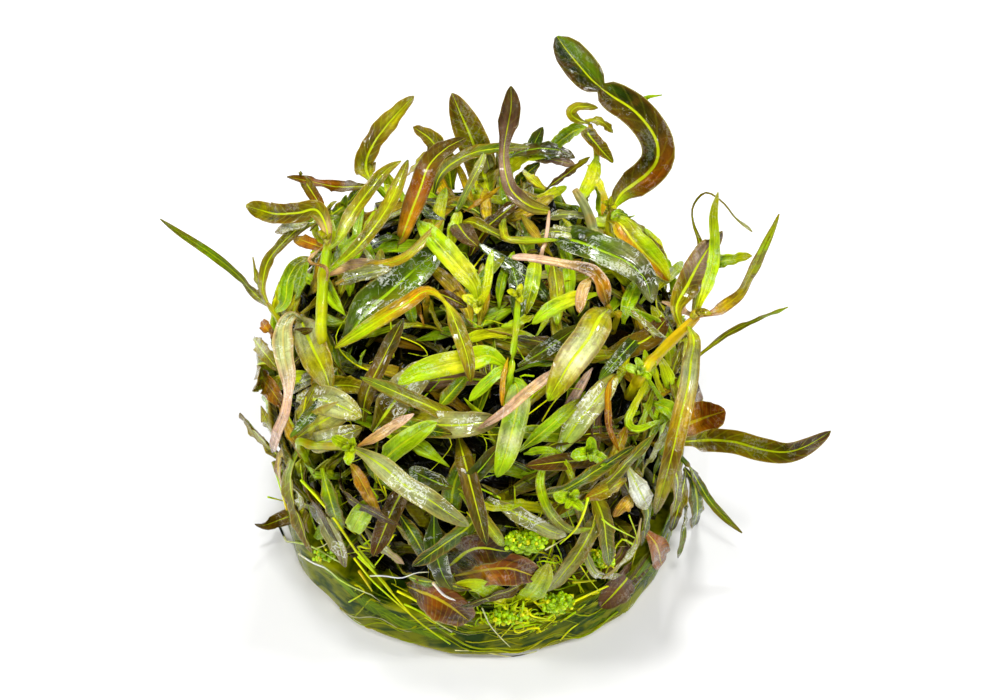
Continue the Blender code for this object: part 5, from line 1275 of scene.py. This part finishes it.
# Each tuft springs from inside the cushion, heads along its surface and rises off it
def makeTufts(look, shape):
    chance = np.random.default_rng(look["seed"])
    golden, share, heading, length, rise, width = np.array(tufts).T
    reach, height = upOutline(share)
    base = turned(reach, golden * goldenTurn, height)
    out = moundNormal(base)
    seen = out @ ahead < look["seenBelow"]
    rise = np.where(seen, rise * look["lower"], rise)
    width = np.where(seen, width * look["narrower"], width)
    aside = unit(np.cross(out, [0, 0, 1.0]))
    heading = np.radians(heading)[:, None]
    level = np.sin(heading) * aside + np.cos(heading) * np.cross(aside, out)
    level, lift = level * length[:, None] * mm, out * (rise * length)[:, None] * mm
    points = [base - look["root"] * out] + [base + a * level + b * lift for a, b in look["shape"]]
    paths = np.stack([smoothPath(line, shape["stations"]) for line in np.stack(points, axis=1)])
    share = np.linspace(0, 1, shape["stations"])
    widths = np.maximum(lanceWidth(share)[None] * width[:, None] * mm, shape["narrowest"])
    names = np.where(seen, chooseHues(quietHues, len(tufts), chance),
                     chooseHues(outerHues, len(tufts), chance))
    makeBlades("thicket_tufts", paths, widths, moundNormal(paths), names, shape, chance)


# The heart: a nearly black, wet, turned shape well below the mound's skin, lumpy through
# smooth random waves. It is painted shade: a dark mass put under the leaves so the gaps
# between them show as shadow.
heart = {"depth": 8 * mm, "meridians": 120, "rings": 60, "lumps": ((9, 1.6), (3.5, 0.7)),
         "upTo": 0.985, "aboveGel": 0.2 * mm, "light": 0.5}


def makeHeart(look):
    reach, height = upOutline(np.linspace(0, look["upTo"], look["rings"])[:, None])
    rings = turned(reach, fullTurn(look["meridians"]), height)
    lump = sum(high * ripple(rings, size * mm, 40 + k)
               for k, (size, high) in enumerate(look["lumps"])) * mm
    rings = rings - (look["depth"] + lump)[..., None] * moundNormal(rings)
    rings[..., 2] = np.maximum(rings[..., 2], gel["height"] + look["aboveGel"])
    tips = np.stack([rings[0].mean(axis=0), rings[-1].mean(axis=0)])
    marks = np.zeros((1, *rings.shape))
    marks[..., 0] = 0.5
    # Painted shade: the core's tint is the deep hue darkened by half
    tints = np.broadcast_to(np.array(hues["deep"]) * look["light"], (1, *rings.shape))
    settle(ringMesh("thicket_shade_core", rings[None], tips[None], marks, tints, [finishes["dark"]]),
           slotOf["leaf_thicket"], "leaf_thicket")


makeHeart(heart)
makeTufts(tuftLeaf, lyingBlade)
leafCount = makeShoots(shoots, smallBlade)
makePressed("thicket_pressed_leaves", pressed, smallBlade, outerHues)
makePressed("thicket_inner_leaves", inner, {**smallBlade, "stations": 7}, innerHues)
print("thicket made", leafCount + pressed["count"] + inner["count"])

# The gel: a turned disc whose radius and top wander a little, clear, tinted through its depth
gelShape = {"meridians": 144, "footRound": 2.2 * mm, "rimRound": 1.2 * mm, "wander": 0.35 * mm,
            "sink": 0.3 * mm, "cornerSteps": 5, "bulge": 3.6, "bulgeAt": -0.85, "bulgeWide": 0.5,
            "waves": (17 * mm, 31), "fineWaves": (6 * mm, 32), "fineShare": 0.4}
# Its look: dark and light cloud, the light band under its top, and the golden band at its foot,
# a painted glow of light from the floor through the gel
gelLook = {"dark": (0.015, 0.045, 0.001), "light": (0.18, 0.20, 0.001), "top": (0.36, 0.38, 0.001),
           "foot": (0.38, 0.35, 0.002), "clouds": 8 * mm, "waves": 4 * mm, "relief": 0.5 * mm,
           "layers": 2.8, "slant": 0.9, "depth": 2.5 * mm, "through": (0.90, 0.94, 0.03),
           "density": 600.0}


# How far the gel's side wanders: smooth waves of two sizes, and a broad bulge at one angle
def gelWander(points):
    away = (np.arctan2(points[..., 1], points[..., 0]) - gelShape["bulgeAt"]) / gelShape["bulgeWide"]
    return (ripple(points, *gelShape["waves"])
            + gelShape["fineShare"] * ripple(points, *gelShape["fineWaves"])
            + gelShape["bulge"] * np.exp(-away ** 2))


# Points at an angle round the gel, a height, and a depth under its side
def onGel(angle, height, depth):
    radius = gel["radius"] - gelShape["wander"]
    points = turned(radius, angle, height)
    stretch = 1 + gelWander(points) * gelShape["wander"] / gel["radius"] - depth / radius
    return points * np.stack([stretch, stretch, np.ones_like(stretch)], -1)


def gelFinish(look):
    recipe = Recipe("nutrient_gel")
    spot = recipe.place()
    east, north, rise = recipe.parts(spot)
    up = rise / gel["height"]
    layers = recipe.node("ShaderNodeCombineXYZ", sockets={
        0: east, 1: north, 2: rise * look["layers"] - east * look["slant"]})
    waves = recipe.noise(spot, look["waves"], 3)
    clouds = recipe.noise(layers, look["clouds"], 3, distortion=1.2)
    tone = recipe.node("ShaderNodeMix", {"data_type": "RGBA"}, {
        0: clouds.step(0.36, 0.62), 6: look["dark"], 7: look["light"]}, 2)
    tone = tone.mixed(up.step(0.72, 0.92) * clouds.step(0.3, 0.6) * 0.7, look["top"])
    # Painted light: the golden band at the foot stands in for light from the floor through the gel
    tone = tone.mixed(1 - up.step(0.05, 0.25), look["foot"])
    surface = recipe.node("ShaderNodeBsdfPrincipled", sockets={
        "Base Color": tone, "Transmission Weight": 0.22, "IOR": 1.335, "Specular IOR Level": 0.08,
        "Subsurface Weight": 1.0, "Subsurface Scale": look["depth"],
        "Subsurface Radius": (1.0, 1.0, 0.2), "Roughness": 0.04 + waves * 0.06,
        "Normal": recipe.bump(waves, look["relief"])})
    depth = recipe.node("ShaderNodeVolumeAbsorption", sockets={
        "Color": look["through"], "Density": look["density"]})
    return recipe.finish(surface, depth)


# The gel's profile is turned: flat foot, round corner, wall, round rim and top. Its radius
# wanders, and its top sinks with the same waves.
def makeGel(shape):
    radius, height = gel["radius"] - shape["wander"], gel["height"]
    corner = np.linspace(0, math.pi / 2, shape["cornerSteps"])
    foot, rim = shape["footRound"], shape["rimRound"]
    profile = [(reach * radius, 0) for reach in (0.15, 0.4, 0.65, 0.85)]
    profile += [(radius - foot + foot * math.sin(a), foot - foot * math.cos(a)) for a in corner]
    profile += [(radius, height * share) for share in (0.4, 0.55, 0.7)]
    profile += [(radius - rim + rim * math.cos(a), height - rim + rim * math.sin(a)) for a in corner]
    profile += [(reach * radius, height) for reach in (0.88, 0.7, 0.45, 0.2)]
    profile = np.array(profile)
    rings = turned(profile[:, :1], fullTurn(shape["meridians"]), profile[:, 1:])
    bulge = gelWander(rings)
    rings[..., :2] *= (1 + bulge * shape["wander"] / gel["radius"])[..., None]
    onTop = rings[..., 2] > height - 0.01 * mm
    rings[..., 2] -= np.where(onTop, shape["sink"] * (1 + bulge.clip(-1, 1)) / 2, 0)
    middles = np.array([[0, 0, 0], [0, 0, height - shape["sink"] / 2]])
    thing = ringMesh("gel_cake_body", rings[None], middles[None], np.zeros((1, *rings.shape)),
                     np.ones((1, *rings.shape)), [gelFinish(gelLook)])
    settle(thing, slotOf["gel_cake"], "gel_cake")


makeGel(gelShape)

# Leaves pressed in the gel against the cup's wall, the first of them flush with its side, and
# roots in it: counts, sizes in mm, and depths under the side and heights in mm
sunken = {"seed": 12, "count": 44, "flush": 26, "lengths": (14, 30), "widths": (4.0, 7.5),
          "flushDepths": (-0.02, 0.16), "depths": (0.8, 8), "heights": (4.6, 11.5),
          "slope": 2.6, "bend": 1.2, "lowest": 2.6, "underTop": 1.6, "tilt": 0.3}
roots = {"seed": 14, "count": 110, "flush": 60, "stations": 18, "around": 6, "lengths": (8, 30),
         "thickness": (0.07, 0.2), "flushDepths": (-0.12, 0.1), "depths": (0.3, 3.0),
         "heights": (2.5, 12), "slope": 7, "lowest": 1.4, "underTop": 0.8, "taper": 0.6,
         "wobble": (0.7, 6 * mm, 5), "swing": (3 * mm, 11 * mm, 6)}
sunkenHues = [("green deep green", 10), ("deep green deep", 7), ("green fresh green", 6),
              ("fresh green fresh", 4), ("olive green fresh", 3), ("umber brown umber", 1)]
rootHues = [("lime yellow", 10), ("yellow lime", 8), ("khaki lime", 8), ("cream silver", 3),
            ("fresh lime", 6), ("olive khaki", 4)]


def makeSunken(look, shape):
    chance = np.random.default_rng(look["seed"])
    count, flush = look["count"], np.arange(look["count"])[:, None] < look["flush"]
    turn = chance.uniform(0, 2 * math.pi, (count, 1))
    lengths = chance.uniform(*look["lengths"], (count, 1)) * mm
    share = np.linspace(0, 1, shape["stations"])[None]
    depth = np.where(flush, chance.uniform(*look["flushDepths"], (count, 1)),
                     chance.uniform(*look["depths"], (count, 1))) * mm
    angle = turn + (share - 0.5) * lengths / gel["radius"] * chance.choice((-1, 1), (count, 1))
    height = chance.uniform(*look["heights"], (count, 1))
    height = height + chance.normal(0, look["slope"], (count, 1)) * (share - 0.5) * 2
    height = height + chance.normal(0, look["bend"], (count, 1)) * share ** 2
    height = np.clip(height, look["lowest"], gel["height"] / mm - look["underTop"]) * mm
    paths = onGel(angle, height, depth)
    widths = lanceWidth(share) * chance.uniform(*look["widths"], (count, 1)) * mm
    widths = np.maximum(widths, shape["narrowest"])
    tilt = chance.normal(0, look["tilt"], (count, 1, 3)) * ~flush[..., None]
    outs = paths * [1, 1, 0] + tilt * gel["radius"]
    names = chooseHues(sunkenHues, count, chance)
    makeBlades("gel_pressed_leaves", paths, widths, outs, names, shape, chance, "leaf_green",
               "gel_cake")


def makeRoots(look):
    chance = np.random.default_rng(look["seed"])
    count, flush = look["count"], np.arange(look["count"])[:, None] < look["flush"]
    share = np.linspace(0, 1, look["stations"])[None]
    turn = chance.uniform(0, 2 * math.pi, (count, 1))
    lengths = chance.uniform(*look["lengths"], (count, 1)) * mm
    angle = turn + (share - 0.5) * lengths / gel["radius"] * chance.choice((-1, 1), (count, 1))
    way = np.stack([angle * 40, share + turn * 3, turn + 0 * share], -1) * mm
    wobble, *waves = look["wobble"]
    shallow = chance.uniform(*look["flushDepths"], (count, 1))
    deep = chance.uniform(*look["depths"], (count, 1)) + wobble * ripple(way, *waves)
    depth = np.where(flush, shallow, deep) * mm
    swing, *waves = look["swing"]
    height = chance.uniform(*look["heights"], (count, 1)) * mm + swing * ripple(way, *waves)
    height = height + chance.normal(0, look["slope"], (count, 1)) * mm * (share - 0.5)
    height = np.clip(height, look["lowest"] * mm, gel["height"] - look["underTop"] * mm)
    radii = chance.uniform(*look["thickness"], (count, 1)) * mm * (1 - look["taper"] * share)
    tubes = tubeRings(onGel(angle, height, depth), radii, look["around"], chance)
    names = chooseHues(rootHues, count, chance)
    tints = np.stack([tintAlong(hue, share[0]) for hue in names])
    settleTubes("gel_roots", tubes, tints, "stem", "gel_cake")


makeSunken(sunken, {**smallBlade, "stations": 14, "fold": (0, 3), "roll": 3, "wave": 0.08 * mm,
                    "crinkle": 0.04 * mm, "pleat": 0.02 * mm, "spread": (0.5, 1.2), "look": "sunk"})
makeRoots(roots)

# Loose roots and threads that the view shows: radius in mm, hues, lift in mm and pixels
threads = [
    (0.30, "lime yellow lime yellow lime", 2.4, (301, 480), (316, 496), (331, 514), (346, 536),
        (356, 551), (370, 566), (383, 583), (399, 601), (413, 617), (431, 631), (450, 644)),
    (0.24, "yellow lime yellow", 2.4, (354, 558), (369, 577), (381, 589), (397, 603), (411, 615)),
    (0.30, "lime yellow", 2.2, (358, 556), (372, 570), (384, 582), (392, 592)),
    (0.30, "gold yellow", 2.0, (359, 571), (365, 580), (372, 591)),
    (0.22, "lime lime cream", 2.2, (404, 604), (419, 611), (434, 621), (452, 632)),
    (0.26, "yellow lime yellow", 2.2, (397, 591), (413, 599), (427, 608), (441, 618), (456, 627)),
    (0.16, "cream white cream", 2.6, (370, 576), (384, 576), (401, 578), (416, 573), (429, 572)),
    (0.26, "cream silver lime silver", 2.0, (270, 539), (279, 541), (299, 543), (317, 549), (334, 559),
        (346, 566)),
    (0.20, "cream white lime cream", 1.9, (299, 554), (313, 563), (327, 569), (341, 581), (359, 590),
        (370, 594), (380, 601)),
    (0.14, "yellow cream", 2.1, (317, 548), (323, 546), (329, 542)),
    (0.18, "lime yellow", 2.0, (349, 602), (356, 598), (364, 593)),
    (0.16, "silver cream silver", 2.4, (482, 608), (490, 625), (500, 637), (510, 647)),
    # The next pale thread, along the gel's bottom rim, is a painted highlight of the rim drawn as a
    # thread
    (0.20, "cream khaki cream silver", 1.75, (455, 650), (480, 651), (513, 657), (537, 651)),
    (0.20, "lime lime", 3, (602, 519), (613, 527), (635, 538)),
    (0.28, "lime yellow lime", 4, (588, 498), (583, 515), (575, 530), (560, 544)),
    (0.18, "cream khaki", 2.4, (545, 550), (557, 543), (565, 538)),
    (0.16, "lime khaki", 3, (629, 515), (637, 540), (632, 565)),
    (0.15, "yellow lime", 2.5, (578, 562), (590, 580), (600, 592)),
    (0.22, "lime yellow", 1, (268, 497), (276, 499), (284, 501)),
    (0.55, "olive lime gold", 1.2, (274, 462), (281, 486), (287, 510)),
    (0.30, "pink white pink", 3.6, (433, 583), (447, 597), (471, 603)),
    (0.30, "lime yellow lime", 2.2, (548, 618), (566, 606), (590, 594), (626, 578)),
    (0.24, "yellow lime", 2.2, (560, 640), (572, 628), (596, 612)),
]
# Mats of roots, each round a spot of the view: spreads and steps in pixels, sizes in mm. No
# root goes past the reach, a half width and height, from the centre.
rootMat = {"seed": 17, "stations": 14, "around": 7, "bright": 2.1, "centre": (478, 448),
           "reach": (178, 196), "points": 4, "taper": 0.5,
           "hues": ("lime yellow", "yellow lime", "lime fresh", "khaki lime", "yellow khaki"),
           "mats": (
               {"count": 70, "middle": (520, 618), "spread": (27, 9), "step": (9, 6),
                "lifts": (1.0, 2.6), "radii": (0.10, 0.26)},
               {"count": 60, "middle": (480, 560), "spread": (95, 38), "step": (13, 15),
                "lifts": (-1.5, 2.2), "radii": (0.08, 0.26)},
               {"count": 26, "middle": (470, 380), "spread": (90, 60), "step": (15, 15),
                "lifts": (-1, 2.5), "radii": (0.08, 0.2)})}


def makeThreads(look):
    chance = np.random.default_rng(look["seed"])
    rows = [(radius, hue, [(*spot, lift) for spot in spots]) for radius, hue, lift, *spots in threads]
    for mat in [mat for mat in look["mats"] for _ in range(mat["count"])]:
        spots = insideReach(chance.normal(mat["middle"], mat["spread"]) + np.cumsum(
            chance.normal(0, mat["step"], (look["points"], 2)), axis=0), look)
        lifts = chance.uniform(*mat["lifts"], look["points"])
        hue = str(chance.choice(look["hues"]))
        rows.append((chance.uniform(*mat["radii"]), hue, np.column_stack([spots, lifts])))
    share = np.linspace(0, 1, look["stations"])
    paths = np.array([smoothPath(place(spots), len(share)) for _, _, spots in rows])
    radii = np.array([radius * mm * (1 - look["taper"] * share) for radius, _, _ in rows])
    tubes = tubeRings(paths, radii, look["around"], chance)
    tints = np.stack([tintAlong(hue, share) for _, hue, _ in rows]) * look["bright"]
    settleTubes("loose_roots", tubes, tints, "stem", "gel_cake")


makeThreads(rootMat)
print("gel made")

# The callus: a ball whose skin is raised in knobs, each a round bump round a point spread
# over it, with crumbs of growth on it. Other lumps of crumbs sit in the thicket.
callusShape = {"place": (527, 541, 1.5), "radii": (3.7, 2.7, 2.3), "rings": 90, "around": 120,
               "knobs": 70, "knobHeight": 0.34, "knobWidth": 0.26, "jitter": 0.14, "seed": 4,
               "dent": 0.14, "dents": (1.9, 8), "pole": 0.95}
# Lumps of crumbs: across and down in the view, lift, half sizes in mm, and how many crumbs
callusCrumbs = [((515, 541, 2.4), (2.2, 1.6, 2.3), 130), ((534, 541, 2.4), (2.6, 1.6, 2.0), 150)]
otherCrumbs = [((603, 558, 1.2), (2.3, 1.6, 2.4), 130), ((557, 603, 2.2), (3.6, 1.8, 2.7), 210),
               ((506, 616, 1.8), (4.2, 1.4, 1.9), 90), ((324, 556, 1.6), (2.6, 0.8, 1.8), 40)]
crumb = {"seed": 23, "radii": (0.18, 0.50), "rings": 6, "around": 8, "ripple": 0.5, "facing": 0.4,
         "dents": (1.3, 9), "fill": (0.5, 1.0), "bright": (1.1, 2.1), "apart": 9,
         "hues": [("lime", 12), ("yellow", 4), ("fresh", 8)]}
ballPoles = np.array([[0, 0, -1], [0, 0, 1]])


def callusFinish():
    recipe = Recipe("callus_skin")
    spot = recipe.place()
    blotch = recipe.noise(spot, 1.2 * mm, 3)
    return recipe.finish(recipe.node("ShaderNodeBsdfPrincipled", sockets={
        "Base Color": recipe.attribute("leafTint", "Color").times(blotch * 1.2 + 0.4),
        "Roughness": 0.1 + blotch * 0.2, "IOR": 1.4, "Subsurface Weight": 0.5,
        "Subsurface Scale": 0.6 * mm, "Subsurface Radius": (1.0, 1.0, 0.2),
        "Normal": recipe.bump(recipe.noise(spot, 0.5 * mm, 2), 0.15 * mm)}))


callusSkin = callusFinish()


# Directions of a ball's rings, from its lower pole to its upper one
def ballRings(rings, around):
    polar = np.linspace(math.pi / rings / 2, math.pi * (1 - 0.5 / rings), rings)[:, None]
    return turned(np.sin(polar), fullTurn(around), -np.cos(polar))


def makeCallus(shape):
    centre = place([shape["place"]])[0]
    ball = ballRings(shape["rings"], shape["around"])
    k = np.arange(shape["knobs"]) + 0.5
    high = 1 - 2 * k / shape["knobs"]
    spots = turned(np.sqrt(1 - high ** 2), k * goldenTurn, high)
    chance = np.random.default_rng(shape["seed"])
    spots = unit(spots + chance.normal(0, shape["jitter"], spots.shape))
    near = np.linalg.norm(ball[:, :, None] - spots, axis=-1).min(axis=-1)
    knob = np.sqrt(np.maximum(0, 1 - (near / shape["knobWidth"]) ** 2))
    swell = 1 - shape["knobHeight"] + shape["knobHeight"] * knob
    swell = swell + shape["dent"] * ripple(ball, *shape["dents"])
    skin = ball * swell[..., None] * np.array(shape["radii"]) * mm + centre
    poles = ballPoles * np.array(shape["radii"]) * mm * shape["pole"] + centre
    bright = (swell[..., None] - swell.min()) / np.ptp(swell)
    tints = np.array(hues["green"]) * (1 - bright) + np.array(hues["lime"]) * bright
    thing = ringMesh("callus_body", skin[None], poles[None], np.zeros((1, *skin.shape)),
                     tints[None], [callusSkin])
    settle(thing, slotOf["callus"], "callus")


# Crumbs: small dented balls set at random round each lump, from its heart to its skin
def makeCrumbs(name, lumps, look, slot, node):
    chance = np.random.default_rng(look["seed"])
    ball = ballRings(look["rings"], look["around"])
    spots = []
    for at, sizes, count in lumps:
        centre = place([at])[0]
        way = unit(chance.normal(size=(count, 3)) - look["facing"] * ahead)
        spots.append(centre + way * np.array(sizes) * mm * chance.uniform(*look["fill"], (count, 1)))
    spots = np.vstack(spots)
    count = len(spots)
    radii = chance.uniform(*look["radii"], (count, 1, 1, 1)) * mm
    apart = ball[None] + chance.uniform(0, look["apart"], (count, 1, 1, 3))
    dents = 1 + look["ripple"] * ripple(apart, *look["dents"])
    skins = spots[:, None, None] + ball * radii * dents[..., None]
    poles = spots[:, None] + ballPoles * radii[:, :, 0]
    names = chooseHues(look["hues"], count, chance)
    tints = np.array([hues[hue] for hue in names])[:, None, None]
    tints = tints * chance.uniform(*look["bright"], (count, 1, 1, 1))
    tints = np.broadcast_to(tints, skins.shape)
    settle(ringMesh(name, skins, poles, np.zeros(skins.shape), tints, [callusSkin]), slot, node)


makeCallus(callusShape)
makeCrumbs("callus_crumbs", callusCrumbs, crumb, slotOf["callus"], "callus")
makeCrumbs("thicket_crumbs", otherCrumbs, crumb, slotOf["callus"], "leaf_thicket")
print("callus made")

# Floor, lights and camera. Each softbox: place, width and depth in metres, and its brightness
studio = {
    "floor": 4.0, "floorDrop": 0.2 * mm, "floorColour": (0.60, 0.60, 0.60), "floorGlow": 0.1,
    "world": (1.0, 0.99, 0.96), "worldLight": 0.17,
    "softboxes": {
        "behind": ((0.10, 0.62, 0.64), 0.22, 0.11, 72),
        "above": ((-0.12, 0.06, 0.90), 0.13, 0.11, 74),
        "over": ((0.12, -0.32, 0.82), 0.12, 0.08, 72),
        "front": ((0.12, -0.60, 0.62), 0.12, 0.07, 68),
        "low": ((-0.10, -0.80, 0.24), 0.10, 0.06, 60),
        "left": ((-0.64, -0.10, 0.48), 0.11, 0.15, 72),
        "right": ((0.62, -0.12, 0.46), 0.10, 0.14, 72),
    },
    "aim": (0, 0, 0.03),
}


def makeStudio(look):
    size = look["floor"]
    mesh = bpy.data.meshes.new("floor")
    corners = [(-size, -size), (size, -size), (size, size), (-size, size)]
    mesh.from_pydata([(*corner, -look["floorDrop"]) for corner in corners], [], [(0, 1, 2, 3)])
    floor = bpy.data.objects.new("floor", mesh)
    bpy.context.scene.collection.objects.link(floor)
    recipe = Recipe("floor_paper")
    mesh.materials.append(recipe.finish(recipe.node("ShaderNodeBsdfPrincipled", sockets={
        "Base Color": look["floorColour"], "Roughness": 0.7, "Specular IOR Level": 0.2,
        "Emission Color": (1.0, 1.0, 1.0), "Emission Strength": look["floorGlow"]})))
    world = bpy.data.worlds.new("studio")
    bpy.context.scene.world = world
    world.use_nodes = True
    sky = world.node_tree.nodes["Background"]
    sky.inputs["Color"].default_value = (*look["world"], 1)
    sky.inputs["Strength"].default_value = look["worldLight"]
    for name, (spot, width, depth, brightness) in look["softboxes"].items():
        lamp = bpy.data.lights.new(name, "AREA")
        lamp.shape = "RECTANGLE"
        lamp.size, lamp.size_y = width, depth
        lamp.energy = brightness * math.pi * width * depth
        box = bpy.data.objects.new(name, lamp)
        bpy.context.scene.collection.objects.link(box)
        aim = np.array(look["aim"]) - spot
        box.location = spot
        box.rotation_euler = (math.acos(-aim[2] / np.linalg.norm(aim)), 0,
                              math.atan2(-aim[0], aim[1]))


def makeCamera():
    lens = bpy.data.cameras.new("camera")
    lens.lens, lens.sensor_width = view["lens"], view["sensor"]
    lens.clip_start = 0.01
    camera = bpy.data.objects.new("camera", lens)
    camera.location = eye
    camera.rotation_euler = (math.pi / 2 - view["tilt"], 0, 0)
    bpy.context.scene.collection.objects.link(camera)
    bpy.context.scene.camera = camera
    bpy.context.scene.view_settings.view_transform = "Standard"


makeStudio(studio)
makeCamera()
print("studio made")

bpy.context.view_layer.update()
